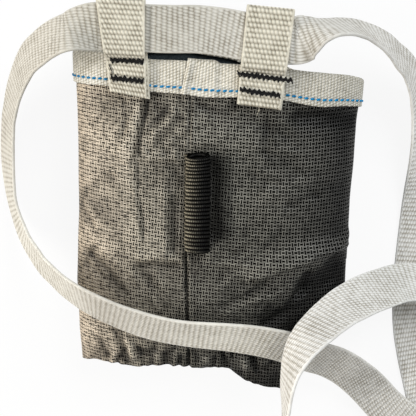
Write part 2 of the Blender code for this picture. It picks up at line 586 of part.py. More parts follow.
belt_loop(
    "belt_loop_left", LEFT_LOOP_FOOT_MM, LEFT_LOOP_LEAN, LEFT_LOOP_SLOPE, LEFT_CROWN_SLOPE,
    LEFT_LOOP_LENGTH, LEFT_LOWER_LEAF_SHIFT, LEFT_CLIMB_DROP,
)
belt_loop(
    "belt_loop_right", RIGHT_LOOP_FOOT_MM, RIGHT_LOOP_LEAN, RIGHT_LOOP_SLOPE, RIGHT_CROWN_SLOPE,
    RIGHT_LOOP_LENGTH, RIGHT_LOWER_LEAF_SHIFT, RIGHT_CLIMB_DROP,
)

# Bar tacks across the loops
TACK_HEIGHT = UPPER_LEAF_HEIGHT + LOOP_THICKNESS / 2 + LAYER_GAP + TACK_RADIUS
for name, start, end, half in TACK_ROWS_MM:
    a, b = np.array(start) * MM, np.array(end) * MM
    count = int(round((b[0] - a[0]) / TACK_PITCH)) + 1
    zigzag = []
    for i in range(count):
        share = i / (count - 1)
        x = a[0] + (b[0] - a[0]) * share
        y = a[1] + (b[1] - a[1]) * share + half * MM * (1 if i % 2 else -1)
        zigzag.append((x, y, float(front_height(np.array([x]))[0]) + TACK_HEIGHT))
    thread(name, zigzag, TACK_RADIUS, BLACK_THREAD)


# Ribbed brush loop with its sewn edge
TUBE_AROUND = 20


def hung_at(made, point):
    """Give a moving piece its own origin on its joint's axis."""
    made.data.transform(Matrix.Translation(-point))
    made.location = point


def tube_ring(y, grow, bore=False):
    centre_x, centre_z = TUBE_CENTRE_MM[0] * MM, TUBE_CENTRE_MM[2] * MM
    thin = TUBE_WALL if bore else 0.0
    ring = []
    for k in range(TUBE_AROUND):
        angle = 2 * math.pi * k / TUBE_AROUND
        x = centre_x + (TUBE_HALF_WIDTH + grow - thin) * math.cos(angle)
        z = centre_z + (TUBE_HALF_HEIGHT + grow - thin) * math.sin(angle)
        if not bore and k == 12:
            x, z = TUBE_EDGE_MM[0] * MM, TUBE_EDGE_MM[1] * MM + TUBE_EDGE_HALF
        if not bore and k == 13:
            x, z = TUBE_EDGE_MM[0] * MM, TUBE_EDGE_MM[1] * MM - TUBE_EDGE_HALF
        ring.append((x, y, z))
    return ring


tube_low = TUBE_CENTRE_MM[1] * MM - TUBE_LENGTH / 2
rings = []
for i in range(2 * TUBE_RIBS + 1):
    rings.append(tube_ring(tube_low + TUBE_LENGTH * i / (2 * TUBE_RIBS), RIB_HEIGHT * (i % 2)))
rings.append(tube_ring(tube_low + TUBE_LENGTH, 0.0, bore=True))
rings.append(tube_ring(tube_low, 0.0, bore=True))
hung_at(make("brush_loop", *loft(rings, closed_path=True), ELASTIC), Vector(TUBE_SWING_MM) * MM)


# Belt
def belt_stations(rows, steps):
    """Evenly spaced middle points of the belt with the directions of its width and thickness."""
    table = np.array(rows, float)
    chord = np.linalg.norm(np.diff(table[:, :3], axis=0), axis=1)
    at = np.concatenate([[0.0], np.cumsum(chord)])
    slopes = np.gradient(table, at, axis=0)
    fine = np.linspace(0.0, at[-1], 2400)
    index = np.clip(np.searchsorted(at, fine, side="right") - 1, 0, len(at) - 2)
    width = (at[index + 1] - at[index])[:, None]
    t = (fine[:, None] - at[index][:, None]) / width
    line = (
        (2 * t**3 - 3 * t**2 + 1) * table[index]
        + (t**3 - 2 * t**2 + t) * width * slopes[index]
        + (3 * t**2 - 2 * t**3) * table[index + 1]
        + (t**3 - t**2) * width * slopes[index + 1]
    )
    run = np.concatenate([[0.0], np.cumsum(np.linalg.norm(np.diff(line[:, :3], axis=0), axis=1))])
    even = np.linspace(0.0, run[-1], steps)
    line = np.stack([np.interp(even, run, line[:, k]) for k in range(4)], axis=1)
    centre = line[:, :3] * MM
    along = np.gradient(centre, axis=0)
    along /= np.linalg.norm(along, axis=1)[:, None]
    left = np.cross((0.0, 0.0, 1.0), along)
    left /= np.linalg.norm(left, axis=1)[:, None]
    lean = np.radians(line[:, 3])[:, None]
    across = left * np.cos(lean) + np.cross(along, left) * np.sin(lean)
    return centre, across, np.cross(along, across)


centre, across, rise = belt_stations(BELT_POINTS_MM, BELT_STEPS)
stations = []
for c, w, n in zip(centre, across, rise):
    w, n = w * BELT_WIDTH / 2, n * BELT_THICKNESS / 2
    stations.append((c + w + n, c - w + n, c - w - n, c + w - n))
make("belt", *loft(stations), WEBBING, smooth=False)


# Side release buckle
def block(name, low, high, skin=None):
    """A box between two corners: a part with a skin, or a hidden cutter without one."""
    corners = [(x, y, z) for x in (low[0], high[0]) for y in (low[1], high[1]) for z in (low[2], high[2])]
    faces = [(0, 1, 3, 2), (4, 6, 7, 5), (0, 4, 5, 1), (2, 3, 7, 6), (0, 2, 6, 4), (1, 5, 7, 3)]
    made = make(name, corners, faces, skin or BUCKLE, smooth=False)
    if skin is None:
        made.hide_render = True
        made.display_type = "WIRE"
    return made


def cut(target, cutters):
    for cutter in cutters:
        step = target.modifiers.new("cut_" + cutter.name, "BOOLEAN")
        step.operation = "DIFFERENCE"
        step.solver = "EXACT"
        step.object = cutter


def rounded(target, width):
    step = target.modifiers.new("edge", "BEVEL")
    step.width = width
    step.segments = 2
    step.limit_method = "ANGLE"


HALF, FLOOR, TOP = BUCKLE_HALF_WIDTH, BUCKLE_FLOOR_GAP, BUCKLE_FLOOR_GAP + BUCKLE_THICKNESS
NEAR, FAR, REACH = BUCKLE_Y - HALF, BUCKLE_Y + HALF, CUTTER_REACH
socket = block("buckle_socket", (SOCKET_START_X, NEAR, FLOOR), (SOCKET_END_X, FAR, TOP), BUCKLE)
rounded(socket, BUCKLE_EDGE_ROUND)
CAVITY_HALF = HALF - BUCKLE_SIDE_WALL
CAVITY_LOW, CAVITY_HIGH = FLOOR + BUCKLE_WALL, TOP - BUCKLE_WALL
cut(socket, (
    block("socket_cavity", (SOCKET_START_X - REACH, BUCKLE_Y - CAVITY_HALF, CAVITY_LOW),
          (SOCKET_BODY_END_X - BUCKLE_SIDE_WALL, BUCKLE_Y + CAVITY_HALF, CAVITY_HIGH)),
    block("socket_windows", (WINDOW_START_X, NEAR - REACH, CAVITY_LOW),
          (WINDOW_END_X, FAR + REACH, CAVITY_HIGH)),
    block("socket_tail_top", (SOCKET_BODY_END_X, NEAR - REACH, TAIL_HIGH),
          (SOCKET_END_X + REACH, FAR + REACH, TOP + REACH)),
    block("socket_tail_floor", (SOCKET_BODY_END_X, NEAR - REACH, FLOOR - REACH),
          (SOCKET_END_X + REACH, FAR + REACH, TAIL_LOW)),
    block("socket_slot", (SOCKET_BODY_END_X + TAIL_INNER_BAR, BUCKLE_Y - SLOT_HALF, FLOOR - REACH),
          (SOCKET_END_X - TAIL_OUTER_BAR, BUCKLE_Y + SLOT_HALF, TOP + REACH)),
))

PLUG_LOW, PLUG_HIGH = FLOOR + BUCKLE_CLEARANCE, TOP - BUCKLE_CLEARANCE
plug = block("buckle_plug", (PLUG_START_X, NEAR, PLUG_LOW), (TONGUE_END_X, FAR, PLUG_HIGH), BUCKLE)
rounded(plug, BUCKLE_EDGE_ROUND)
cut(plug, (
    block("plug_tail_top", (PLUG_START_X - REACH, NEAR - REACH, TAIL_HIGH),
          (PLUG_BODY_START_X, FAR + REACH, TOP + REACH)),
    block("plug_tail_floor", (PLUG_START_X - REACH, NEAR - REACH, FLOOR - REACH),
          (PLUG_BODY_START_X, FAR + REACH, TAIL_LOW)),
    block("plug_slot", (PLUG_START_X + TAIL_OUTER_BAR, BUCKLE_Y - SLOT_HALF, FLOOR - REACH),
          (PLUG_BODY_START_X - TAIL_INNER_BAR, BUCKLE_Y + SLOT_HALF, TOP + REACH)),
    block("plug_side_far", (PLUG_BODY_END_X, BUCKLE_Y + TONGUE_HALF, FLOOR - REACH),
          (TONGUE_END_X + REACH, FAR + REACH, TOP + REACH)),
    block("plug_side_near", (PLUG_BODY_END_X, NEAR - REACH, FLOOR - REACH),
          (TONGUE_END_X + REACH, BUCKLE_Y - TONGUE_HALF, TOP + REACH)),
    block("plug_tongue_top", (PLUG_BODY_END_X, NEAR, TONGUE_HIGH), (TONGUE_END_X + REACH, FAR, TOP + REACH)),
    block("plug_tongue_floor", (PLUG_BODY_END_X, NEAR, FLOOR - REACH),
          (TONGUE_END_X + REACH, FAR, TONGUE_LOW)),
))

for name, side in (("buckle_prong_left", 1.0), ("buckle_prong_right", -1.0)):
    rings = []
    for z in (PRONG_LOW, PRONG_LOW + PRONG_HEIGHT):
        rings.append([(x * MM, BUCKLE_Y + side * y * MM, z) for x, y in PRONG_OUTLINE_MM])
    root = Vector((PRONG_ROOT_MM[0] * MM, BUCKLE_Y + side * PRONG_ROOT_MM[1] * MM, PRONG_LOW))
    hung_at(make(name, *loft(rings), BUCKLE, smooth=False), root)

for made in bpy.data.objects:
    made.location.y -= ORIGIN_Y
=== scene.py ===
import math
import bpy
import numpy as np
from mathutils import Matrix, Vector


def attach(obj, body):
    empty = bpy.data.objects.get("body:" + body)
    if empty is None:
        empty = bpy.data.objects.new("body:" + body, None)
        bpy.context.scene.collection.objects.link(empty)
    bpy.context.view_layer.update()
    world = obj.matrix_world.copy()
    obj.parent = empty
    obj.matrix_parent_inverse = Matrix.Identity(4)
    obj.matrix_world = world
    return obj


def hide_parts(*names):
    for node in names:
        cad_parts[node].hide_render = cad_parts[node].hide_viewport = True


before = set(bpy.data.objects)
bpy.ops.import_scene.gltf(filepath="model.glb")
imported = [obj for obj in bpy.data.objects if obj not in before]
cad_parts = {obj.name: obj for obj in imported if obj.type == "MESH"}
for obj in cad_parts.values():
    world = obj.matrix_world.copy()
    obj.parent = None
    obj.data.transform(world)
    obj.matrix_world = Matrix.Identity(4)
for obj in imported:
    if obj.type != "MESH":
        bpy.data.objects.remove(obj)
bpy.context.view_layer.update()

# Camera and light: a camera above the mouth's half of the bag that looks down and a little toward its foot,
# a long soft warm lamp low on the left, a weaker cool one above on the mouth's side, and a plain white table.
TABLE_GLOW_SHARE = 0.90
TABLE_REACH = 4.0
TABLE_DROP = 0.0002

eye = bpy.data.cameras.new("camera")
eye.sensor_width = 36.0
eye.lens = 65.77
camera = bpy.data.objects.new("camera", eye)
camera.location = (-0.005, 0.077, 0.464)
camera.rotation_euler = (-0.15, 0.0, 0.0)
bpy.context.scene.collection.objects.link(camera)
bpy.context.scene.camera = camera
bpy.context.scene.view_settings.view_transform = "Standard"


def soft_lamp(name, place, toward, size, watts, colour):
    """A rectangular lamp that faces a place."""
    data = bpy.data.lights.new(name, "AREA")
    data.shape = "RECTANGLE"
    data.size, data.size_y = size
    data.energy = watts
    data.color = colour
    lamp = bpy.data.objects.new(name, data)
    lamp.location = place
    aim = Vector(toward) - Vector(place)
    lamp.rotation_euler = aim.to_track_quat("-Z", "Y").to_euler()
    bpy.context.scene.collection.objects.link(lamp)


soft_lamp("key_lamp", (-1.00, -0.16, 0.60), (0.0, 0.02, 0.03), (1.1, 0.26), 12.0, (1.0, 0.95, 0.88))
soft_lamp("top_lamp", (0.42, 0.66, 0.80), (0.0, 0.0, 0.0), (0.6, 0.6), 7.8, (0.97, 0.99, 1.0))

world = bpy.data.worlds.new("studio")
bpy.context.scene.world = world
world.use_nodes = True
sky = world.node_tree.nodes["Background"]
sky.inputs["Color"].default_value = (0.93, 0.96, 1.0, 1.0)
sky.inputs["Strength"].default_value = 0.34


def node_of(tree, kind, **values):
    """A new node of a material, with its settings."""
    made = tree.nodes.new(kind)
    for name, value in values.items():
        setattr(made, name, value)
    return made


def maths(operation, *values, clamp=False):
    """The result of a Math node, fed by numbers and by sockets of one material."""
    tree = next(value.id_data for value in values if not isinstance(value, (int, float)))
    made = node_of(tree, "ShaderNodeMath", operation=operation, use_clamp=clamp)
    for socket, value in zip(made.inputs, values):
        if isinstance(value, (int, float)):
            socket.default_value = value
        else:
            tree.links.new(value, socket)
    return made.outputs[0]


def times(first, second, clamp=False):
    return maths("MULTIPLY", first, second, clamp=clamp)


table = bpy.data.materials.new("white_table")
table.use_nodes = True
tree = table.node_tree
paint = tree.nodes["Principled BSDF"]
paint.inputs["Base Color"].default_value = (0.86, 0.86, 0.86, 1.0)
paint.inputs["Roughness"].default_value = 0.9
glow = node_of(tree, "ShaderNodeEmission")
ray = node_of(tree, "ShaderNodeLightPath").outputs
seen = maths("MAXIMUM", ray["Is Camera Ray"], ray["Is Glossy Ray"])
seen = maths("MAXIMUM", seen, ray["Is Transmission Ray"])
blend = node_of(tree, "ShaderNodeMixShader")
tree.links.new(times(seen, TABLE_GLOW_SHARE), blend.inputs["Fac"])
tree.links.new(paint.outputs[0], blend.inputs[1])
tree.links.new(glow.outputs[0], blend.inputs[2])
tree.links.new(blend.outputs[0], tree.nodes["Material Output"].inputs["Surface"])

floor_mesh = bpy.data.meshes.new("table_top")
corners = [(x * TABLE_REACH, y * TABLE_REACH, 0.0) for x, y in ((-1, -1), (1, -1), (1, 1), (-1, 1))]
floor_mesh.from_pydata(corners, [], [(0, 1, 2, 3)])
floor_mesh.materials.append(table)
floor = bpy.data.objects.new("table_top", floor_mesh)
floor.location.z = -TABLE_DROP
bpy.context.scene.collection.objects.link(floor)

# Belt: 25 mm white webbing in one length, its picks standing as ridges across it with a row of small yarn
# ovals on each. It runs through both loops, lies round and across the bag and ends in its buckle. Its points
# are in millimetres, with Y counted from the base seam, and end with the belt's lean in degrees.
BELT_WIDTH = 0.025
BELT_THICKNESS = 0.0018
BELT_PICK = 0.00285
YARN = 0.00167
BELT_SWELLS = (0.11, 0.03)
BELT_STEPS = 2033
BUCKLE_NODES = ("buckle_socket", "buckle_plug", "buckle_prong_left", "buckle_prong_right")
MM = 0.001
ORIGIN_Y = 0.080
BELT_POINTS_MM = (
    (109.4, -119, 7.2, 0), (113.6, -119, 9, 0), (118, -118.4, 9.8, -16), (126, -115, 11.6, -55),
    (134, -107.5, 13.2, -80), (140, -96.5, 13.3, -80), (142.4, -84, 9.6, -46),
    (141.8, -71, 3.4, -10), (139.2, -57, 1.4, 0),
    (136, -42, 1.4, 0), (131.5, -24, 1.4, 0), (127, -5, 1.4, 0), (124, 12, 1.4, 0),
    (123, 32, 1.4, 0), (123.6, 52, 1.6, 0), (125, 72, 1.8, 1), (126, 88, 2.5, 4),
    (126.3, 100, 4.1, 11), (126, 110.7, 6.1, 21), (125.3, 120.3, 7.9, 30), (124.3, 129.7, 9.5, 37),
    (122.9, 138.6, 11, 42), (121.2, 146.5, 12.9, 45), (118.8, 154.1, 15.7, 47), (115.9, 161.1, 18.9, 49),
    (112.2, 167.1, 22.4, 49), (107.2, 172.8, 26.8, 50), (101.3, 177.6, 31.5, 53), (94.4, 183, 36.6, 57),
    (86.8, 187.3, 41.1, 61), (79, 190.1, 45.2, 63), (71.4, 191.4, 49.6, 65), (63.6, 191.6, 53.6, 66),
    (57.8, 191, 55.8, 62), (52.8, 189.6, 56.4, 51), (48.8, 187.5, 55.4, 34), (46, 186, 53.9, 12),
    (43.6, 184.7, 53.1, 0), (41.2, 184.4, 53, 0), (38.6, 184.4, 52.9, 0),
    (33.4, 184.6, 52.9, 0), (26.5, 185.1, 52.9, 0), (15.2, 186.7, 52.9, 0), (2.9, 188.9, 52.9, 0),
    (-9.9, 190.3, 52.9, 0),
    (-23.7, 190.4, 52.9, 0), (-37.5, 190.8, 52.9, 0), (-51.2, 191.6, 52.9, 0), (-59.1, 191.9, 52.9, 0),
    (-65, 191.8, 52.9, 0), (-69, 191.2, 53.4, 8), (-73.5, 190.4, 54.3, 20), (-78.7, 189.1, 55, 32),
    (-87.7, 185.9, 50.9, 36), (-96.1, 181.4, 45.1, 38), (-102.9, 176.6, 39.6, 42), (-107.6, 171.6, 34.4, 46),
    (-112.1, 165.2, 29.1, 51), (-116.1, 157.6, 24.5, 55), (-119.4, 148.8, 20.3, 58),
    (-121.6, 141.2, 17.1, 59), (-123, 132, 14.7, 60), (-123.8, 122.9, 13.3, 60),
    (-124, 112.7, 12.7, 61), (-123.5, 103.7, 12.8, 63),
    (-122.1, 93.1, 13.7, 65), (-119.8, 84.5, 14.7, 64), (-116.4, 75.9, 16.8, 61), (-112.3, 68.5, 19.8, 59),
    (-107.2, 62, 23.7, 55), (-102.1, 57, 27.9, 52), (-95.6, 52.4, 33.7, 50), (-88.4, 48.1, 39.9, 48),
    (-80.2, 44.2, 46.1, 46), (-68.4, 39.4, 51.8, 45), (-56.4, 34.5, 53.8, 44), (-47.1, 31.1, 54.3, 42),
    (-37.3, 28, 54.5, 41), (-27, 25.6, 54.6, 41), (-16.9, 23.9, 54.5, 40), (-5.4, 22.7, 54.1, 38),
    (6.4, 21.5, 53.4, 36), (18.6, 19.6, 52, 33), (29.6, 17, 50, 31), (40.5, 13.4, 47, 28),
    (50.8, 8.8, 44.8, 24), (59, 4.3, 38.8, 21), (68.1, -1.1, 30.6, 19), (77, -7.6, 23.4, 17),
    (85.3, -15, 16.8, 14), (92.5, -22.3, 11.4, 9), (99.1, -29.8, 7.2, 4), (106.6, -38.4, 4.9, 0),
    (117, -47.6, 4.2, 0), (130, -56, 4, 0),
    (144, -61.5, 4.2, 3), (159, -62.5, 6.4, 18), (173, -57, 9.8, 42), (184, -45, 12.6, 66),
    (190, -28, 13.5, 80), (189, -9, 13.7, 80), (181, 9, 13.7, 74), (168, 24, 13.7, 64),
    (153, 34.5, 14, 54), (137, 41, 14.6, 46), (124, 43.8, 16.2, 41), (112, 44.6, 20, 39),
    (98.8, 43.8, 29, 40), (84.6, 42.2, 40.6, 43), (77.3, 40.6, 46.8, 46), (70.2, 38.6, 53, 51),
    (63.1, 35.5, 58.9, 55), (55.9, 31.5, 65, 59), (49.1, 26.6, 70.6, 63), (43.4, 20.4, 74.6, 69),
    (39.4, 12.8, 76.6, 76), (37.2, 3.4, 77.2, 82), (36.4, -7.4, 75.6, 86), (36.2, -18.6, 71, 93),
    (36.2, -30.4, 62.6, 102), (35.8, -42.6, 51.4, 106), (34.8, -55, 39.4, 107), (33.6, -68, 28.4, 107),
    (32.6, -81, 20, 107), (33, -94, 15, 107), (36.4, -106, 13.2, 112), (43, -115, 11.6, 138),
    (50, -118.6, 9.6, 172), (54.2, -119, 9, 180), (58.4, -119, 7.2, 180),
)

FLAT_SHARE = 0.955
SELVEDGE_STARTS = 0.90
SELVEDGE_RISES = 0.06


def mesh_piece(name, points, faces, skin, uv=None, fold_shading=None):
    """A mesh with a UV pair for each of its points and, if given, the painted shading of each point."""
    mesh = bpy.data.meshes.new(name)
    mesh.from_pydata([tuple(p) for p in points], [], faces)
    mesh.materials.append(skin)
    mesh.polygons.foreach_set("use_smooth", [True] * len(mesh.polygons))
    if uv is not None:
        layer = mesh.uv_layers.new(name="weave")
        corners = np.empty(len(mesh.loops), int)
        mesh.loops.foreach_get("vertex_index", corners)
        layer.data.foreach_set("uv", np.asarray(uv, float)[corners].ravel())
    if fold_shading is not None:
        mesh.attributes.new("fold_shading", "FLOAT", "POINT").data.foreach_set("value", np.asarray(fold_shading, float))
    made = bpy.data.objects.new(name, mesh)
    bpy.context.scene.collection.objects.link(made)
    return made


def sleeve_faces(rows, around, closed=False, seam=False):
    """Quads over rows of equal rings, with two end caps unless the last ring meets the first. With a seam, a
    ring has one point more, which lies on its first and ends the weave's UVs."""
    step = around + seam
    i = np.arange(rows if closed else rows - 1)[:, None]
    j = np.arange(around)[None, :]
    k = j + 1 if seam else (j + 1) % around
    here, there = i * step, ((i + 1) % rows) * step
    faces = np.stack([here + j, here + k, there + k, there + j], axis=-1).reshape(-1, 4).tolist()
    if not closed:
        faces.append(list(range(around - 1, -1, -1)))
        faces.append([(rows - 1) * step + j for j in range(around)])
    return faces


def run_along(points):
    """The length run along a row of points."""
    return np.concatenate([[0.0], np.cumsum(np.linalg.norm(np.diff(points, axis=0), axis=1))])


def unit(rows):
    return rows / np.linalg.norm(rows, axis=1)[:, None]


def weave_uv(picks, yarns):
    """UV pairs of a grid of points, from the count of each row and of each point round it."""
    return np.stack(np.broadcast_arrays(picks[:, None], yarns[None, :]), axis=-1).reshape(-1, 2)


def plus(first, second, clamp=False):
    return maths("ADD", first, second, clamp=clamp)


def less(first, second):
    return maths("SUBTRACT", first, second)


def scaled(value, factor, offset, clamp=False):
    return maths("MULTIPLY_ADD", value, factor, offset, clamp=clamp)


def spread(value, size):
    """A number between 0 and 1 made into one that lies evenly about zero."""
    return scaled(value, size, -size / 2)


def wave(value, factor):
    """The cosine of a number times a factor."""
    return maths("COSINE", times(value, factor))


def noise(tree, scale, detail=2.0):
    """Soft noise over the piece's own places."""
    place = node_of(tree, "ShaderNodeTexCoord")
    made = node_of(tree, "ShaderNodeTexNoise")
    made.inputs["Scale"].default_value = scale
    made.inputs["Detail"].default_value = detail
    tree.links.new(place.outputs["Object"], made.inputs["Vector"])
    return made.outputs["Fac"]


def cell_chance(column, row):
    """A random number for every cell of a weave."""
    tree = column.id_data
    cell = node_of(tree, "ShaderNodeCombineXYZ")
    tree.links.new(column, cell.inputs[0])
    tree.links.new(row, cell.inputs[1])
    chance = node_of(tree, "ShaderNodeTexWhiteNoise", noise_dimensions="2D")
    tree.links.new(cell.outputs[0], chance.inputs["Vector"])
    return chance.outputs["Value"]


def ramp(factor, stops):
    """Colours blended between the places of their stops."""
    tree = factor.id_data
    made = node_of(tree, "ShaderNodeValToRGB")
    while len(made.color_ramp.elements) < len(stops):
        made.color_ramp.elements.new(0.5)
    for element, (place, colour) in zip(made.color_ramp.elements, stops):
        element.position = place
        element.color = (*colour, 1.0)
    tree.links.new(factor, made.inputs["Fac"])
    return made.outputs["Color"]


def tinted(colour, tint):
    """One colour multiplied by another."""
    tree = colour.id_data
    made = node_of(tree, "ShaderNodeMix", data_type="RGBA", blend_type="MULTIPLY")
    made.inputs["Factor"].default_value = 1.0
    tree.links.new(colour, made.inputs["A"])
    tree.links.new(tint, made.inputs["B"])
    return made.outputs["Result"]


def bumped(shader, height, distance):
    """Relief of a height between 0 and 1 over a distance in metres."""
    tree = height.id_data
    made = node_of(tree, "ShaderNodeBump")
    made.inputs["Distance"].default_value = distance
    tree.links.new(height, made.inputs["Height"])
    tree.links.new(made.outputs["Normal"], shader.inputs["Normal"])


def cloth_shader(name, roughness, sheen=0.0, specular=0.3):
    """A new material with its node tree and its shader, set for fibres."""
    skin = bpy.data.materials.new(name)
    skin.use_nodes = True
    shader = skin.node_tree.nodes["Principled BSDF"]
    shader.inputs["Roughness"].default_value = roughness
    shader.inputs["Specular IOR Level"].default_value = specular
    shader.inputs["Sheen Weight"].default_value = sheen
    shader.inputs["Sheen Roughness"].default_value = 0.4
    return skin, skin.node_tree, shader


def weave_place(tree):
    """The two UV numbers of the weave, counted in picks along and yarns across."""
    at = node_of(tree, "ShaderNodeUVMap", uv_map="weave")
    apart = node_of(tree, "ShaderNodeSeparateXYZ")
    tree.links.new(at.outputs["UV"], apart.inputs[0])
    return apart.outputs["X"], apart.outputs["Y"]


def webbing_skin(name, light, middle, dark, relief, half_yarns, painted_run_shading=None):
    """Webbing of picks and yarns: an oval for every yarn on every pick, half a step over in every second
    pick, with a smooth selvedge on both sides. A tint by the share of the run paints light and shade along
    it."""
    skin, tree, shader = cloth_shader(name, 0.70, 0.20)
    along, across = weave_place(tree)
    pick = maths("FLOOR", along)
    shifted = plus(across, times(maths("PINGPONG", pick, 1.0), 0.5))
    yarn = maths("FLOOR", shifted)
    u, v = less(maths("FRACT", along), 0.5), less(maths("FRACT", shifted), 0.5)
    ridge = wave(u, 5.9)
    oval = wave(plus(v, times(u, 0.35)), 5.2)
    woven = times(scaled(ridge, 0.40, 0.60), scaled(oval, 0.40, 0.60))
    selvedge = times(less(maths("ABSOLUTE", across), half_yarns - 0.75), 2.5, clamp=True)
    height = plus(times(woven, less(1.0, selvedge)), times(selvedge, 0.62))
    varied = plus(height, spread(cell_chance(pick, yarn), 0.24))
    tone = plus(varied, spread(noise(tree, 55.0, 3.0), 0.50), clamp=True)
    colour = ramp(tone, ((0.0, dark), (0.30, middle), (0.85, light)))
    # A tint along the run, which paints light and shade on the strip.
    if painted_run_shading is not None:
        picks, stops = painted_run_shading
        colour = tinted(colour, ramp(maths("DIVIDE", along, picks), stops))
    tree.links.new(colour, shader.inputs["Base Color"])
    bumped(shader, height, relief)
    return skin


def table_line(rows, steps):
    """Evenly spaced middle points of a strip with the directions of its width and thickness."""
    table = np.array(rows, float)
    at = run_along(table[:, :3])
    slopes = np.gradient(table, at, axis=0)
    fine = np.linspace(0.0, at[-1], 9600)
    index = np.clip(np.searchsorted(at, fine, side="right") - 1, 0, len(at) - 2)
    width = (at[index + 1] - at[index])[:, None]
    t = (fine[:, None] - at[index][:, None]) / width
    line = (
        (2 * t**3 - 3 * t**2 + 1) * table[index]
        + (t**3 - 2 * t**2 + t) * width * slopes[index]
        + (3 * t**2 - 2 * t**3) * table[index + 1]
        + (t**3 - t**2) * width * slopes[index + 1]
    )
    run = run_along(line[:, :3])
    even = np.linspace(0.0, run[-1], steps)
    line = np.stack([np.interp(even, run, line[:, k]) for k in range(4)], axis=1)
    centre = line[:, :3] * MM
    along = unit(np.gradient(centre, axis=0))
    left = unit(np.cross((0.0, 0.0, 1.0), along))
    lean = np.radians(line[:, 3])[:, None]
    across = left * np.cos(lean) + np.cross(along, left) * np.sin(lean)
    return centre, across, np.cross(along, across), even * MM


def strip_section():
    """Shares of width and thickness round a strip's section, fine at its two round edges."""
    side = np.linspace(-1.0, 1.0, 13)
    side = np.sign(side) * np.abs(side) ** 0.85 * FLAT_SHARE
    corners = np.radians((60, 20, -20, -60))
    ends = [(FLAT_SHARE + (1 - FLAT_SHARE) * math.cos(a), math.sin(a)) for a in corners]
    top = [(s, 1.0) for s in side]
    bottom = [(s, -1.0) for s in side[::-1]]
    return np.array(top + ends + bottom + [(-s, -h) for s, h in ends])


def woven_heights(section, run, pick, swells):
    """Heights of a webbing strip's points, in shares of half its thickness: its faces rise over each pick by
    the first swell and its selvedges by the second."""
    s, h = section[:, 0], section[:, 1]
    crest = 0.5 - 0.5 * np.cos(2 * math.pi * run / pick)[:, None]
    edge = np.clip((np.abs(s) - SELVEDGE_STARTS) / SELVEDGE_RISES, 0.0, 1.0)
    face, side = (1.0 - swell + swell * crest for swell in swells)
    return h * (face * (1 - edge) + side * edge)


belt_rows = [(x, y - ORIGIN_Y / MM, z, lean) for x, y, z, lean in BELT_POINTS_MM]
belt_centre, belt_across, belt_rise, belt_run = table_line(belt_rows, BELT_STEPS)
section = strip_section()
reach = section[:, 0] * BELT_WIDTH / 2
height = woven_heights(section, belt_run, BELT_PICK, BELT_SWELLS) * BELT_THICKNESS / 2
points = (
    belt_centre[:, None, :]
    + belt_across[:, None, :] * reach[None, :, None]
    + belt_rise[:, None, :] * height[..., None]
)
uv = weave_uv(belt_run / BELT_PICK, reach / YARN)
# The belt's tint along its run paints light and shade on it: lighter on the left arc, whose face turns to the
# key lamp, and darker from the top of the right arc through both loops.
BELT_SHADING_SHARES = (
    (0.0, (1.0, 1.0, 1.0)), (0.19, (1.0, 1.0, 1.0)), (0.23, (0.84, 0.84, 0.84)), (0.26, (0.76, 0.755, 0.74)),
    (0.30, (0.70, 0.69, 0.66)), (0.34, (0.61, 0.60, 0.56)), (0.37, (0.73, 0.71, 0.66)),
    (0.43, (0.76, 0.745, 0.70)), (0.455, (0.88, 0.87, 0.83)), (0.49, (0.88, 0.87, 0.83)),
    (0.515, (0.74, 0.72, 0.68)), (0.555, (0.96, 0.95, 0.91)), (0.59, (0.72, 0.71, 0.68)),
    (0.62, (0.88, 0.87, 0.85)), (0.78, (0.95, 0.95, 0.95)), (0.815, (0.90, 0.91, 0.91)),
    (0.85, (1.0, 1.0, 1.0)),
)
BELT_WEBBING = webbing_skin(
    "belt_webbing", (0.95, 0.94, 0.90), (0.72, 0.695, 0.64), (0.40, 0.37, 0.31), 0.0004, 7.5,
    (float(belt_run[-1]) / BELT_PICK, BELT_SHADING_SHARES),
)
faces = sleeve_faces(BELT_STEPS, len(section))
belt = mesh_piece("belt_strap", points.reshape(-1, 3), faces, BELT_WEBBING, uv)
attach(belt, "bag")
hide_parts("belt")

# Outer wall: a tube of grey cloth, flattened on its back, with one seam down the front and its foot gathered
# into the base seam. Handling has left long creases in it.
BAG_HEIGHT = 0.174
HALF_WIDTH = 0.080
BACK_SINK = 0.0012
BACK_LIFT = 0.0027
BACK_LIFT_SHARES = (0.79, 0.895)
WALL_THICKNESS = 0.0008
SECTION_STEPS = 1441
SECTION_SHARES = (0.0, 0.12, 0.28, 0.5, 0.75, 1.0)
CENTRE_X_MM = (-2.6, -2.6, -2.7, -1.4, 0.0, 1.0)
WIDTH_SHARES = (0.985, 0.992, 0.995, 0.985, 0.992, 1.010)
DEPTH_MM = (38.0, 43.0, 45.5, 47.5, 48.0, 47.5)
ROUNDING = (2.9, 3.0, 3.1, 3.1, 3.1, 3.1)
BASE_LINE_MM = (
    (-86, -1.6), (-80, -1.2), (-74, 0.6), (-64, 0), (-48, -2.2), (-33, -0.4), (-20, -1.4),
    (-8, -2.6), (2, -1.6), (9, -3.6), (15, -9), (24, -12.8), (34, -15), (41, -15.4),
    (48, -10), (55, -1), (62, 8), (69, 17), (75, 27), (84, 38),
)
FRONT_RIM_MM = (
    (-86, 179.4), (-76, 178.6), (-62, 177.6), (-50, 176), (-36, 173.7), (-17, 172.7), (-8, 171.5), (3, 171),
    (12, 170.9), (38, 168.8), (50, 166.8), (60, 165.8), (72, 165.2), (86, 162.4),
)
BACK_RIM_MM = (
    (-86, 179.4), (-76, 182), (-60, 186), (-40, 188.6), (-15, 188.6), (10, 184.6),
    (32, 175), (50, 167), (62, 164.6), (86, 162.4),
)


def eased(values, reach):
    """Values smoothed over some neighbours on each side, with both ends held."""
    kernel = np.hanning(2 * reach + 1)
    return np.convolve(np.pad(values, reach, mode="edge"), kernel / kernel.sum(), mode="valid")


def between(value, start, end):
    """A share that goes from 0 to 1 between two values."""
    return np.clip((value - start) / (end - start), 0.0, 1.0)


def soft_step(share):
    """A share with both its ends eased."""
    return share * share * (3 - 2 * share)


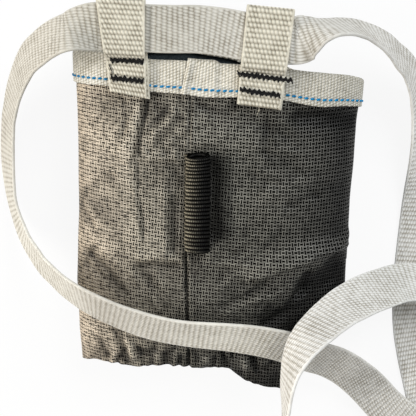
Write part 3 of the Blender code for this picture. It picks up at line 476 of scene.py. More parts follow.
def hump(value, place, breadth):
    """A smooth hump of height 1 about a place."""
    return np.exp(-(((value - place) / breadth) ** 2))


def eased_line(pairs):
    """A line through the pairs, rounded over its corners, in metres from the part's origin."""
    table = np.array(pairs, float) * MM
    fine = np.linspace(table[0, 0], table[-1, 0], 260)
    return fine, eased(np.interp(fine, table[:, 0], table[:, 1]), 8) - ORIGIN_Y


BASE_LINE = eased_line(BASE_LINE_MM)
FRONT_RIM = eased_line(FRONT_RIM_MM)
BACK_RIM = eased_line(BACK_RIM_MM)


def bag_section(turns, share):
    """X and Z of the tube's section at a share of its height, with its outward directions and its girth."""
    centre = np.interp(share, SECTION_SHARES, CENTRE_X_MM) * MM
    half = np.interp(share, SECTION_SHARES, WIDTH_SHARES) * HALF_WIDTH
    rise = np.interp(share, SECTION_SHARES, DEPTH_MM) * MM / 2
    power = 2 / np.interp(share, SECTION_SHARES, ROUNDING)
    angle = np.linspace(-math.pi / 2, 1.5 * math.pi, SECTION_STEPS)
    cos, sin = np.cos(angle), np.sin(angle)
    x = centre + half * np.sign(cos) * np.abs(cos) ** power
    z = rise - BACK_SINK + (rise + BACK_SINK / 2) * np.sign(sin) * np.abs(sin) ** power
    run = run_along(np.stack([x, z], axis=1))
    even = np.linspace(0.0, run[-1], SECTION_STEPS)
    x, z = np.interp(even, run, x), np.interp(even, run, z)
    dx, dz = np.gradient(x), np.gradient(z)
    dx[0] = dx[-1] = x[1] - x[-2]
    dz[0] = dz[-1] = z[1] - z[-2]
    size = np.hypot(dx, dz)
    at = np.asarray(turns) % 1.0
    grid = np.linspace(0.0, 1.0, SECTION_STEPS)
    found = [np.interp(at, grid, values) for values in (x, z, dz / size, -dx / size)]
    return *found, run[-1]


def on_bag(turns, share=None, drop=None, inset=0.0, creased=None):
    """Points of the tube at a share of its height or a drop below its rim, with creases if asked for."""
    level = min(share if drop is None else 1.0 - drop / BAG_HEIGHT, 1.0)
    x, z, nx, nz, girth = bag_section(turns, level)
    depth = np.interp(level, SECTION_SHARES, DEPTH_MM) * MM
    blend = soft_step(between(z / depth, 0.25, 0.75))
    rim = np.interp(x, *BACK_RIM) * (1 - blend) + np.interp(x, *FRONT_RIM) * blend
    base = np.interp(x, *BASE_LINE)
    y = rim - drop if drop is not None else base + share * (rim - base)
    lift = BACK_LIFT * between(level, *BACK_LIFT_SHARES)
    out = -inset
    if creased is not None:
        out = out + creased(x, y + ORIGIN_Y, nz)
    z = np.maximum(z + nz * out, lift + inset)
    return np.stack([x + nx * out, y, z], axis=1)


# Folds of the front: path in millimetres above the base seam, breadth left and right of the way, height
FOLDS_MM = (
    (((-40, 158), (-43.5, 143), (-46, 133), (-47, 124)), 2, 8, 1.6),
    (((-47, 124), (-46.5, 103), (-44.5, 89), (-43.5, 75)), 1.6, 7, 0.8),
    (((-37.6, 156), (-40.6, 143), (-43, 133), (-44, 124)), 1.9, 1.4, -1.4),
    (((-44, 124), (-43.5, 103), (-41.8, 89), (-40.6, 77)), 1.5, 1.2, -0.7),
    (((-36.7, 125.5), (-19.2, 143.2)), 1.6, 1.8, -1),
    (((-37.8, 131), (-22.5, 146.6)), 1.8, 1.4, 0.9),
    (((-35.6, 139.4), (-26.9, 148.8)), 1.5, 1.5, -0.8),
    (((-28.5, 124.4), (-17, 133.8)), 1.6, 1.6, -0.7),
    (((-22, 137), (-12, 139), (-4, 143)), 3, 2.4, 0.9),
    (((-43, 121), (-18, 121.5)), 5, 1.2, 0.8),
    (((-34, 157), (-33, 148)), 3.2, 2.2, -0.8),
    (((-50, 152), (-51, 134)), 1.6, 1.6, -0.8),
    (((-47, 148), (-54.8, 128)), 1.6, 1.6, -0.9),
    (((-73, 105), (-66, 107.5), (-58, 112)), 1.6, 3, -0.6),
    (((28, 142), (27, 126)), 3, 3, -0.9),
    (((28, 103), (40, 106), (50, 110)), 3, 5, 0.8),
    (((40, 95), (56, 101)), 2, 2.6, -0.8),
    (((2.7, 36.7), (17.4, 43.3), (27.8, 50.5)), 1.8, 1.8, -1.2),
    (((6, 33), (22, 40), (36, 45)), 1.8, 3, 0.9),
    (((27, 25), (40, 33), (47.5, 46), (51, 55)), 2.2, 4.5, -2),
    (((-1, 16), (6, 7)), 1.4, 1.4, 1.2),
    (((5, 15), (10, 6)), 1.4, 1.4, -1.6),
    (((-64, 118), (-58, 108), (-51, 103)), 3.2, 3.2, -0.5),
    (((-56, 120), (-50, 112)), 2.6, 2.6, -0.4),
    (((-76, 61), (-68.5, 73.9)), 1.2, 4, -0.8),
    (((-69, 74.5), (-56, 60), (-50, 52)), 5, 2.2, 0.9),
    (((-74, 68), (-62, 56), (-54, 46)), 2, 4, -1),
    (((-76, 100), (-60, 84), (-50, 72)), 6, 5, -0.4),
    (((-42, 64.8), (-30, 65.6), (-19, 64.2)), 4.5, 1.6, 1.1),
    (((-42, 61), (-22, 60.6)), 1.6, 2.4, -0.9),
    (((-29, 100), (-28.4, 70)), 1.1, 6, 1),
    (((-24, 96), (-24, 70)), 3.4, 3, -1.1),
    (((22, 54), (42, 61), (62, 68), (74, 70)), 7, 2.2, 3),
    (((52, 46), (60, 50), (69, 56)), 6, 9, -4.6),
    (((30, 32), (52, 34), (70, 40)), 5, 7, -1.4),
    (((46, 145), (60, 144), (76, 143)), 5, 6, -2.6),
    (((-9, 150), (-2, 146), (6, 147), (12, 151)), 3, 2.2, -1),
    (((-10, 132), (4, 133), (18, 131)), 8, 9, 1),
    (((-2, 61.5), (26, 60.5), (52, 62)), 5, 1.4, 0.8),
    # The groove right of the brush tube; its painted shade stands in for the tube's shadow.
    (((-3.4, 118), (-2.6, 98), (-3.4, 80)), 6.5, 3, -2.6),
    (((9, 120), (10, 96), (9, 76)), 5, 3, 0.6),
    (((-68, 14), (-65, 4)), 2.6, 2.6, -1.5),
    (((-59, 20), (-56, 12), (-54, 3)), 3.2, 3.2, -2),
    (((-50, 17), (-48.5, 4)), 2.4, 2.4, 1.2),
    (((-45, 9), (-40, 7.5), (-36, 9)), 2.4, 2.8, -1.3),
    (((3, 10), (6, 2), (8, -6)), 2, 2, -2),
    (((8, 18), (13, 8), (17, 0)), 1.8, 1.8, 2),
    (((14, 17), (19, 8), (24, -2)), 3.4, 2.4, -2.2),
    (((50, 16), (66, 12)), 12, 12, -6),
    (((-14.2, 158), (-17.3, 72)), 0.7, 0.7, -0.6),
    (((-17.3, 72), (-17.2, 32), (-16, -3)), 0.8, 0.8, -1.5),
    (((-12.4, 158), (-15.2, 72), (-15.2, 32), (-14, -3)), 1.5, 1.2, 0.35),
    (((-16.2, 158), (-19.4, 72), (-19.4, 32), (-18.2, -3)), 1.2, 1.8, 0.35),
)

# Patches of small wrinkles: how many, the ranges of x, y, lean, length and breadth, and the greatest height
WRINKLES_MM = (
    (16, (-74, -48), (70, 150), (-70, -25), (7, 18), (1.2, 2.4), 0.38),
    (12, (-74, -20), (14, 62), (-80, -20), (7, 20), (1.2, 2.6), 0.50),
    (9, (-38, -22), (66, 150), (-110, -60), (8, 20), (1.2, 2.4), 0.60),
    (10, (0, 70), (40, 80), (5, 50), (10, 30), (1.4, 3), 0.70),
    (8, (10, 70), (90, 150), (-30, 20), (10, 26), (1.4, 3), 0.50),
    (20, (-64, 34), (1, 16), (50, 130), (6, 14), (1.4, 2.6), 1.5),
)
FOLD_GAIN = 1.35
PUCKER_HEIGHT, PUCKER_FADE = 0.0006, 0.009
BILLOW_HEIGHT = 0.00035
FLAT_UNDER_BINDING = (0.0135, 0.0185)
BRUSH_BED = (-0.0105, 0.0978)
BRUSH_BED_SIDES, BRUSH_BED_ENDS = (0.0125, 0.0095), (0.032, 0.028)
BELT_EDGE = (-0.068, -0.047, -0.017, 0.018, 0.041), (0.029, 0.022, 0.0145, 0.010, 0.003)
BELT_PRESS, BELT_PRESS_ENDS = (0.0096, 0.0036), (0.048, 0.044)


def wrinkles():
    """Small creases strewn over six patches of the front, each ridge with a shallower dent beside it."""
    chance = np.random.default_rng(12)
    found = []
    for count, across, up, leans, lengths, breadths, high in WRINKLES_MM:
        for _ in range(count):
            x, y, lean, length = (chance.uniform(*pair) for pair in (across, up, leans, lengths))
            breadth, height = chance.uniform(*breadths), chance.uniform(0.4, 1.0) * high
            way = np.array((math.cos(math.radians(lean)), math.sin(math.radians(lean)))) * length / 2
            off = np.array((-way[1], way[0])) / length * 4.4 * breadth
            for middle, rise in ((np.array((x, y)), height), ((x, y) - off, -0.7 * height)):
                found.append(((middle - way, middle + way), breadth, breadth, rise))
    return found


ALL_FOLDS_MM = list(FOLDS_MM) + wrinkles()


def fold_height(x, y):
    """Height of all folds at points of the front; a fold has a breadth of its own on each side of its way."""
    total = np.zeros_like(x)
    for path, left, right, high in ALL_FOLDS_MM:
        best = np.full_like(x, 1e9)
        side = np.ones_like(x)
        for a, b in zip(path[:-1], path[1:]):
            a, b = np.array(a) * MM, np.array(b) * MM
            way = b - a
            along = np.clip(((x - a[0]) * way[0] + (y - a[1]) * way[1]) / (way @ way), 0.0, 1.0)
            off = np.hypot(x - a[0] - along * way[0], y - a[1] - along * way[1])
            turned = way[0] * (y - a[1]) - way[1] * (x - a[0])
            side = np.where(off < best, turned, side)
            best = np.minimum(best, off)
        total += high * MM * hump(best, 0.0, np.where(side > 0, left, right) * MM)
    return total


def front_creases(x, y, steep):
    """How far the front stands out or in, flat under the brush tube and where the belt presses on it."""
    rim = np.interp(x, *FRONT_RIM) + ORIGIN_Y
    base = np.interp(x, *BASE_LINE) + ORIGIN_Y
    near = np.exp(-np.clip(y - base, 0.0, None) / PUCKER_FADE)
    pucker = PUCKER_HEIGHT * np.sin(x * 900 + 1.6 * np.sin(x * 310)) * near
    waves = np.sin(x * 95 + y * 60) + np.sin(x * 40 - y * 130 + 1.0) + np.sin(y * 210 + x * 25)
    total = FOLD_GAIN * fold_height(x, y) + pucker + BILLOW_HEIGHT * waves
    bed = between(np.abs(x - BRUSH_BED[0]), *BRUSH_BED_SIDES)
    bed = bed * between(np.abs(y - BRUSH_BED[1]), *BRUSH_BED_ENDS)
    total = total * (1 - bed) + np.minimum(total, -0.0001) * bed
    from_edge = np.abs(y - np.interp(x, *BELT_EDGE))
    pressed = between(from_edge, *BELT_PRESS) * between(x, *BELT_PRESS_ENDS)
    total = total * (1 - pressed) + np.minimum(total, 0.0001) * pressed
    return total * between(rim - y, *FLAT_UNDER_BINDING) * np.clip(steep, 0.0, 1.0)


WALL_COLUMNS, WALL_ROWS = 520, 240
INNER_ROW_STEP = 6
SEAM_TURNS = (0.520, 0.556)
WEFT, WARP = 0.00174, 0.00216
wall_turns = np.unique(np.concatenate([np.arange(WALL_COLUMNS) / WALL_COLUMNS, np.linspace(*SEAM_TURNS, 70)]))
wall_shares = np.linspace(0.0, 1.0, WALL_ROWS)
outer = [on_bag(wall_turns, share=s, creased=front_creases) for s in wall_shares]
inner = [
    on_bag(wall_turns, share=s, inset=WALL_THICKNESS, creased=front_creases)
    for s in wall_shares[::INNER_ROW_STEP]
]


def basket_cloth(name):
    """Two-by-two basket cloth: light yarns in cells, a dark slit in each, upright and level by turns. From
    left to right its slits open, and a painted key light makes it lighter and warmer at the left and darker
    at the right; painted fold shading darkens hollows and the hem and lightens raised folds."""
    skin, tree, shader = cloth_shader(name, 0.50, 0.02, 0.4)
    across, up = weave_place(tree)
    column, row = maths("FLOOR", across), maths("FLOOR", up)
    odd = maths("PINGPONG", plus(column, row), 1.0)
    even = less(1.0, odd)
    u, v = (maths("ABSOLUTE", less(maths("FRACT", place), 0.5)) for place in (across, up))
    apart = node_of(tree, "ShaderNodeSeparateXYZ")
    tree.links.new(node_of(tree, "ShaderNodeTexCoord").outputs["Object"], apart.inputs[0])
    reach = scaled(apart.outputs["X"], 5.5, 0.5, clamp=True)
    long, thin = plus(times(u, even), times(v, odd)), plus(times(v, even), times(u, odd))
    half_slit = scaled(reach, 0.10, 0.205)
    inside = maths("SMOOTH_MIN", times(less(0.50, long), 8.0), times(less(half_slit, thin), 8.0), 0.2)
    slit = plus(inside, 0.05, clamp=True)
    open_slit = times(slit, scaled(reach, 1.85, 0.22, clamp=True))
    under = times(maths("MAXIMUM", less(thin, 0.36), 0.0), 3.0)
    row_line = times(scaled(v, -4.0, 1.0, clamp=True), scaled(reach, -1.0, 0.37, clamp=True))
    lit = less(less(0.82, open_slit), plus(under, row_line))
    shade = plus(spread(noise(tree, 520.0), 0.7), spread(cell_chance(column, row), 0.36))
    yarns = ramp(plus(lit, shade, clamp=True), (
        (0.0, (0.006, 0.0058, 0.005)), (0.30, (0.13, 0.126, 0.116)), (0.85, (0.97, 0.95, 0.90)),
    ))
    # Painted key light: lighter and warmer toward the left, where the key lamp stands, darker toward the
    # right.
    painted_key_light = ramp(reach, (
        (0.06, (1.0, 0.86, 0.70)), (0.26, (0.64, 0.59, 0.50)), (0.44, (0.32, 0.31, 0.275)),
        (0.56, (0.29, 0.285, 0.255)), (0.77, (0.215, 0.215, 0.20)), (0.87, (0.095, 0.095, 0.092)),
    ))
    # Painted shade in hollows and along the hem and painted highlight on raised folds, from the mesh's
    # attribute.
    fold_shading = node_of(tree, "ShaderNodeAttribute", attribute_name="fold_shading").outputs["Fac"]
    painted_shading = ramp(fold_shading, ((0.0, (0.17, 0.17, 0.17)), (0.6, (0.70, 0.70, 0.70)), (1.0, (1.0, 1.0, 1.0))))
    tree.links.new(tinted(tinted(yarns, painted_key_light), painted_shading), shader.inputs["Base Color"])
    height = less(1.0, slit)
    tree.links.new(times(height, 0.30), shader.inputs["Specular IOR Level"])
    bumped(shader, height, 0.0004)
    return skin


ROW_SLOPES_MM = (
    (-90, 0.20), (-56, 0.16), (-25, 0.11), (25, 0.05), (40, 0), (57, -0.085), (90, -0.13),
)
# Painted shading of the cloth: painted shade along the hem, and a middle value that raised folds lift and
# hollows lower.
HEM_SHADE, HEM_SHADE_RIGHT, HEM_FADE = 0.62, 0.40, 0.014
HEM_RIGHT, HEM_LEFT = (0.005, 0.035), (-0.060, -0.030)
FOLD_SHADING_MIDDLE, FOLD_SHADING_PER_METRE, FOLD_SHADING_ABOVE = 0.60, 260.0, 0.02


def cloth_rows(points):
    """Weave count up the wall: the rows fall to the right on the left side and rise on the right side."""
    fine = np.linspace(-90.0, 90.0, 361)
    slopes = np.interp(fine, *np.array(ROW_SLOPES_MM).T)
    rise = np.interp(points[:, 0] / MM, fine, np.cumsum(slopes) * (fine[1] - fine[0])) * MM
    return (points[:, 1] + ORIGIN_Y + rise) / WARP


def fold_shading_of(points):
    """Painted shading of the cloth: painted highlight on raised folds, painted shade in hollows and along the
    hem.
    """
    x, y = points[:, 0], points[:, 1] + ORIGIN_Y
    high = front_creases(x, y, np.ones_like(x)) * (points[:, 2] > FOLD_SHADING_ABOVE)
    above_base = np.clip(y - np.interp(x, *BASE_LINE) - ORIGIN_Y, 0.0, None)
    hem = (HEM_SHADE + HEM_SHADE_RIGHT * between(x, *HEM_RIGHT)) * between(x, *HEM_LEFT)
    return np.clip(FOLD_SHADING_MIDDLE + FOLD_SHADING_PER_METRE * high - hem * np.exp(-above_base / HEM_FADE), 0.0, 1.0)


GREY_CLOTH = basket_cloth("grey_basket_cloth")
girth = bag_section(np.array([0.0]), 0.5)[4]
points, uv = [], []
for ring in outer + inner[::-1]:
    points.append(np.concatenate([ring, ring[:1]]))
    uv.append(np.stack([np.append(wall_turns, 1.0) * girth / WEFT, cloth_rows(points[-1])], axis=1))
faces = sleeve_faces(len(points), len(wall_turns), closed=True, seam=True)
points = np.concatenate(points)
wall = mesh_piece("outer_wall", points, faces, GREY_CLOTH, np.concatenate(uv), fold_shading_of(points))
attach(wall, "bag")
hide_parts("body_wall")

# Base: the round bottom, cut from the same grey cloth, gathered along its edge and sewn in just above the
# foot of the wall.
PANEL_COLUMNS, PANEL_ROWS = 120, 30
PANEL_SHARE = 0.02
PANEL_SIDE_GAP, PANEL_FACE_GAP = 0.0006, 0.0005
PANEL_SWELL, PANEL_PUCKER = 0.0008, 0.0004


def bottom_sheet(name, inset, recess, thickness, skin):
    """A sheet across the tube, whose height follows the foot of the wall."""
    edge = on_bag(np.arange(480) / 480, share=PANEL_SHARE, inset=inset, creased=front_creases)
    left, right = edge[:, 0].argmin(), edge[:, 0].argmax()
    front, back = edge[right:left], np.concatenate([edge[left:], edge[:right]])
    front, back = front[front[:, 0].argsort()], back[back[:, 0].argsort()]
    share = (1 - np.cos(np.linspace(0.0, math.pi, PANEL_COLUMNS)))[:, None] / 2
    start, end = edge[left, 0] + PANEL_SIDE_GAP, edge[right, 0] - PANEL_SIDE_GAP
    x = start + (end - start) * share
    low = np.interp(x, back[:, 0], back[:, 2]) + PANEL_FACE_GAP
    high = np.interp(x, front[:, 0], front[:, 2]) - PANEL_FACE_GAP
    t = np.linspace(0.0, 1.0, PANEL_ROWS)[None, :]
    z = low + (high - low) * t
    swell = PANEL_SWELL * np.sin(math.pi * t) * np.sin(math.pi * share)
    puckers = PANEL_PUCKER * np.sin(x * 620 + 3 * t) * (1 - np.sin(math.pi * t))
    y = np.interp(x, *BASE_LINE) + recess + swell + puckers
    lower = np.stack(np.broadcast_arrays(x, y, z), axis=-1)
    rings = np.concatenate([lower, (lower + (0.0, thickness, 0.0))[:, ::-1]], axis=1)
    flat = rings.reshape(-1, 3)
    uv = np.stack([flat[:, 0] / WEFT, flat[:, 2] / WARP], axis=1)
    faces = sleeve_faces(PANEL_COLUMNS, rings.shape[1])
    # The base's painted shading is even, a little darker than the wall's flat middle.
    return mesh_piece(name, flat, faces, skin, uv, np.full(len(flat), 0.5))


bottom = bottom_sheet("base_cloth", 0.0017, 0.0025, 0.0010, GREY_CLOTH)
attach(bottom, "bag")
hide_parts("base_panel")

# Lining: a dark napped cloth tube with a bottom of its own, hanging from the rim inside the wall. It is cut a
# little smaller than the wall and stands free of it.
LINING_INSET = 0.0025
LINING_THICKNESS = 0.0012
LINING_AROUND, LINING_ROWS = 240, 60
LINING_ENDS = (0.0487, 0.93)
LINING_TOP_DROP = 0.0005
LINING_SAG, LINING_WAVES, LINING_SAG_SHARES = 0.0003, 9, (0.9, 0.7)


def napped_lining(name):
    """Dark cloth with a short soft nap that lies unevenly."""
    skin, tree, shader = cloth_shader(name, 0.95, 0.5, 0.1)
    nap = noise(tree, 900.0, 4.0)
    tone = plus(times(nap, 0.6), times(noise(tree, 60.0, 3.0), 0.4))
    stops = ((0.30, (0.014, 0.019, 0.022)), (0.55, (0.030, 0.040, 0.046)), (0.75, (0.060, 0.076, 0.084)))
    tree.links.new(ramp(tone, stops), shader.inputs["Base Color"])
    bumped(shader, nap, 0.0006)
    return skin


def lining_ring(share, inset, drop=None):
    """One ring of the lining, which wavers a little away from the rim."""
    turns = np.arange(LINING_AROUND) / LINING_AROUND
    ring = on_bag(turns, share=share, drop=drop, inset=inset, creased=front_creases)
    sag = LINING_SAG * between(share or 1.0, *LINING_SAG_SHARES)
    ring[:, 1] += sag * np.sin(turns * 2 * math.pi * LINING_WAVES)
    return ring


LINING_CLOTH = napped_lining("dark_napped_lining")
stack = []
for inset, order in ((LINING_INSET, 1), (LINING_INSET + LINING_THICKNESS, -1)):
    rings = [lining_ring(s, inset) for s in np.linspace(*LINING_ENDS, LINING_ROWS)]
    rings.append(lining_ring(None, inset, drop=LINING_TOP_DROP))
    stack += rings[::order]
faces = sleeve_faces(len(stack), LINING_AROUND, closed=True)
lining = mesh_piece("lining_cloth", np.concatenate(stack), faces, LINING_CLOTH)
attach(lining, "bag")
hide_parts("lining_wall")
lining_floor = bottom_sheet("lining_bottom", 0.0020, 0.0050, 0.0012, LINING_CLOTH)
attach(lining_floor, "bag")
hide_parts("lining_base")


# Stiff band: a thin strip of white plastic, closed to a ring, that holds the mouth open. It lies inside the
# binding and is shown by the part's own solid.
def grained_plastic(name, roughness, scale, detail, stops, relief):
    """Plastic with a fine grain in its colour and its surface."""
    skin = bpy.data.materials.new(name)
    skin.use_nodes = True
    tree = skin.node_tree
    shader = tree.nodes["Principled BSDF"]
    shader.inputs["Roughness"].default_value = roughness
    grain = noise(tree, scale, detail)
    tree.links.new(ramp(grain, stops), shader.inputs["Base Color"])
    bumped(shader, grain, relief)
    return skin


BAND_GREYS = ((0.3, (0.62, 0.62, 0.60)), (0.7, (0.76, 0.76, 0.74)))
band_skin = grained_plastic("white_plastic_band", 0.38, 240.0, 2.0, BAND_GREYS, 0.0001)
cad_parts["rim_stiffener"].material_slots[0].material = band_skin

# Binding: white tape folded over the rim and topstitched through. It starts left of the middle and its
# finishing end, folded under, laps back over the start.
TAPE_THICKNESS = 0.0012
BINDING_GAP = 0.0005
LAYER_GAP = 0.0003
OUTER_LEAF = 0.0163
INNER_LEAF = 0.0080
TAPE_END_X = -0.0178
TAPE_LAP = 0.0150
TAPE_RAMP = 0.0050
LEAF_LENGTH_SHARES = ((-86, 0.90), (-70, 1), (58, 1), (74, 0.92), (86, 0.80))
STITCH_DROP = 0.0128
STITCH_PITCH = 0.0034
INNER_INSET = LINING_INSET + LINING_THICKNESS + BINDING_GAP + LAYER_GAP
LEAF_OUT = -BINDING_GAP - TAPE_THICKNESS
LEAF_IN = INNER_INSET + TAPE_THICKNESS
FOLD_TOP = -BINDING_GAP - TAPE_THICKNESS
LAP_LIFT = TAPE_THICKNESS + LAYER_GAP
TAPE_PICK, TAPE_YARN = 0.0018, 0.0016
TAPE_SLANT = 0.0034
END_ROLL, END_ROLL_PLACE, END_ROLL_BREADTH = 0.0018, 0.0016, 0.0015
CREASE, CREASE_DROP, CREASE_BREADTH, CREASE_LENGTH = 0.0007, 0.0085, 0.0009, 0.09
DIMPLE, DIMPLE_BREADTH = 0.00022, 0.0011
FRILL_FADE = 0.003


def rim_turn(x):
    """The place on the front of the rim that has this X, in turns round the tube."""
    turns = np.linspace(0.25, 0.75, 961)
    return float(np.interp(-x, -on_bag(turns, drop=0.0)[:, 0], turns))


END_TURN = rim_turn(TAPE_END_X)
START_TURN = rim_turn(TAPE_END_X + TAPE_LAP)
LEVEL_TURN = rim_turn(TAPE_END_X + TAPE_LAP + TAPE_RAMP / 4)
RAMP_TURN = rim_turn(TAPE_END_X + TAPE_LAP + TAPE_RAMP)
SLANT_TURN = rim_turn(TAPE_END_X - TAPE_SLANT) - END_TURN


def on_tape(turns, inset, drop, side=0.0, top=0.0, lift=0.0):
    """Points of the tape, whose leaf keeps straight from the fold down to its edge."""
    turns, inset, drop = np.broadcast_arrays(turns, inset + side * lift, drop)
    fold = on_bag(turns, drop=0.0, inset=inset)
    edge = on_bag(turns, drop=OUTER_LEAF, inset=inset)
    share = np.clip(drop / OUTER_LEAF, 0.0, None)
    stretch = np.interp(fold[:, 0] / MM, *np.array(LEAF_LENGTH_SHARES).T)
    points = fold + (edge - fold) * share[:, None]
    points[:, 1] = fold[:, 1] - drop * np.where(drop > 0, stretch, 1.0) - top * lift
    return points


def tape_section():
    """Inset, drop and outward direction round the tape's folded section, and the length run round it."""
    outer = [(LEAF_OUT, d, -1.0, 0.0) for d in np.linspace(OUTER_LEAF, 0.0, 18)]
    for angle in np.radians((22, 45, 68)):
        c, s = math.cos(angle), math.sin(angle)
        outer.append((LEAF_OUT * c, FOLD_TOP * s, -c, -s))
    outer += [(i, FOLD_TOP, 0.0, -1.0) for i in np.linspace(0.0, LEAF_IN - TAPE_THICKNESS, 5)]
    for angle in np.radians((68, 45, 22)):
        c, s = math.cos(angle), math.sin(angle)
        outer.append((LEAF_IN - TAPE_THICKNESS + TAPE_THICKNESS * c, FOLD_TOP * s, c, -s))
    outer += [(LEAF_IN, d, 1.0, 0.0) for d in np.linspace(0.0, INNER_LEAF, 9)]
    inner = [(INNER_INSET, d, 1.0, 0.0) for d in np.linspace(INNER_LEAF, 0.0, 5)]
    inner += [(LINING_INSET + LINING_THICKNESS / 2, -BINDING_GAP, 0.0, -1.0), (0.0, -BINDING_GAP, 0.0, -1.0)]
    inner += [(-BINDING_GAP, d, -1.0, 0.0) for d in np.linspace(0.0, OUTER_LEAF, 9)]
    section = np.array(outer + inner)
    return section, run_along(section[:, :2]), len(outer)


tape, tape_run, tape_outer = tape_section()
tape_turns = np.concatenate([
    np.linspace(START_TURN, 1.0 + RAMP_TURN, 620),
    np.linspace(1.0 + RAMP_TURN, 1.0 + LEVEL_TURN, 10)[1:],
    np.linspace(1.0 + LEVEL_TURN, 1.0 + END_TURN, 36)[1:],
])
rim_length = bag_section(np.array([0.0]), 1.0)[4]
along = tape_turns[:, None]
run = along * rim_length
inset, drop, side, top = (np.broadcast_to(tape[:, k], (len(tape_turns), len(tape))) for k in range(4))
lift = soft_step(between(along - 1.0, RAMP_TURN, LEVEL_TURN)) * LAP_LIFT
slant = SLANT_TURN * between(along - 1.0, LEVEL_TURN, END_TURN)
to_end = (1.0 + END_TURN - along) * rim_length
roll = END_ROLL * hump(to_end, END_ROLL_PLACE, END_ROLL_BREADTH)
waver = 0.00022 * np.sin(run / 0.0125) + 0.00014 * np.sin(run / 0.0047 + 1.3)
pull = 0.5 - 0.5 * np.cos(2 * math.pi * run / STITCH_PITCH)
dimple = DIMPLE * (1 - 0.5 * pull) * hump(drop, STITCH_DROP, DIMPLE_BREADTH)
dimple = dimple * (np.arange(len(tape)) < tape_outer)
crease = CREASE * hump(drop, CREASE_DROP, CREASE_BREADTH) * between(to_end, 0.0, 0.003)
crease = crease * (to_end < CREASE_LENGTH)
frill = waver * between(drop, STITCH_DROP, STITCH_DROP + FRILL_FADE)
rings = on_tape(
    (along + slant * (drop / OUTER_LEAF - 0.5)).ravel(), (inset + side * (roll - dimple - crease)).ravel(),
    (drop - waver * (top < 0) + frill).ravel(), side.ravel(), top.ravel(),
    np.broadcast_to(lift, drop.shape).ravel(),
)
uv = weave_uv(tape_turns * rim_length / TAPE_PICK, tape_run / TAPE_YARN)
# The tape's tint along the rim: brighter at the left end of the front, which the belt's left arc shades, is
# painted light; it is darker round the right end.
TAPE_SHADING_SHARES = (
    (0.0, (0.92, 0.92, 0.90)), (0.30, (0.94, 0.93, 0.91)), (0.34, (1.0, 1.0, 1.0)),
    (0.50, (0.92, 0.92, 0.90)), (0.61, (0.90, 0.90, 0.88)), (0.66, (0.76, 0.76, 0.75)),
    (0.70, (0.80, 0.80, 0.79)), (0.73, (0.96, 0.95, 0.93)),
)
BINDING_TAPE = webbing_skin(
    "white_binding_tape", (0.93, 0.90, 0.82), (0.68, 0.65, 0.56), (0.33, 0.30, 0.23), 0.0005, 99.0,
    (rim_length / TAPE_PICK * 2, TAPE_SHADING_SHARES),
)
faces = sleeve_faces(len(tape_turns), len(tape))
binding = mesh_piece("binding_tape", rings, faces, BINDING_TAPE, uv)
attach(binding, "bag")
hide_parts("rim_binding")

# Topstitch: blue thread sewn through both leaves of the binding, one short stitch after another. Both ends
# of a stitch dive into the tape, and the stitches ride up over the lap of the tape.
STITCH_LIFT = 0.00012
STITCH_INSET = LEAF_OUT - STITCH_LIFT
STITCH_RADIUS = 0.00060
STITCH_REACH = 0.20
STITCH_DIVE = 0.00045
THREAD_AROUND = 8
THREAD_TWIST = 0.0016
FULL_TURN = 6.283


def sewing_thread(name, dark, light, roughness=0.5):
    """Twisted thread: its plies run slanting round it."""
    skin, tree, shader = cloth_shader(name, roughness, 0.0, 0.2)
    along, across = weave_place(tree)
    twist = plus(times(along, FULL_TURN), times(across, FULL_TURN))
    ply = scaled(maths("SINE", twist), 0.5, 0.5)
    tree.links.new(ramp(ply, ((0.0, dark), (1.0, light))), shader.inputs["Base Color"])
    bumped(shader, ply, 0.00015)
    return skin


def thread_tube(centres, ups, radius):
    """Points, faces and UVs of a round thread with closed ends."""
    centres = np.asarray(centres, float)
    along = unit(np.gradient(centres, axis=0))
    side = unit(np.cross(along, ups))
    up = np.cross(side, along)
    radii = np.broadcast_to(radius, len(centres))[:, None, None]
    turn = np.arange(THREAD_AROUND + 1) / THREAD_AROUND
    cos, sin = np.cos(2 * math.pi * turn)[None, :, None], np.sin(2 * math.pi * turn)[None, :, None]
    points = centres[:, None, :] + side[:, None, :] * (cos * radii) + up[:, None, :] * (sin * radii)
    faces = sleeve_faces(len(centres), THREAD_AROUND, seam=True)
    return points.reshape(-1, 3), faces, weave_uv(run_along(centres) / THREAD_TWIST, turn)


def joined(name, parts, skin):
    """One piece made of several threads."""
    points, faces, uv, start = [], [], [], 0
    for some, quads, at in parts:
        points.append(some)
        uv.append(at)
        faces += [tuple(k + start for k in quad) for quad in quads]
        start += len(some)
    return mesh_piece(name, np.concatenate(points), faces, skin, np.concatenate(uv))


stitch_count = int(round(rim_length / STITCH_PITCH))
stitches = []
for n in range(stitch_count):
    t = np.linspace(-1.0, 1.0, 9)
    turns = (n + 0.5 + STITCH_REACH * t) / stitch_count
    up_ramp = between(turns, RAMP_TURN - 0.015, RAMP_TURN - 0.005)
    down_ramp = between(turns, END_TURN + 0.018, END_TURN + 0.008)
    drop = STITCH_DROP + 0.0001 * t
    lift = LAP_LIFT * np.minimum(up_ramp, down_ramp)
    line = on_tape(turns, STITCH_INSET + STITCH_DIVE * t**4, drop, -1.0, 0.0, lift)
    ups = on_tape(turns, STITCH_INSET - 0.001, drop) - on_tape(turns, STITCH_INSET, drop)
    stitches.append(thread_tube(line, ups, STITCH_RADIUS))
BLUE = sewing_thread("blue_thread", (0.002, 0.15, 0.36), (0.004, 0.29, 0.58))
topstitch = joined("binding_stitches", stitches, BLUE)
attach(topstitch, "bag")
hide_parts("binding_topstitch")

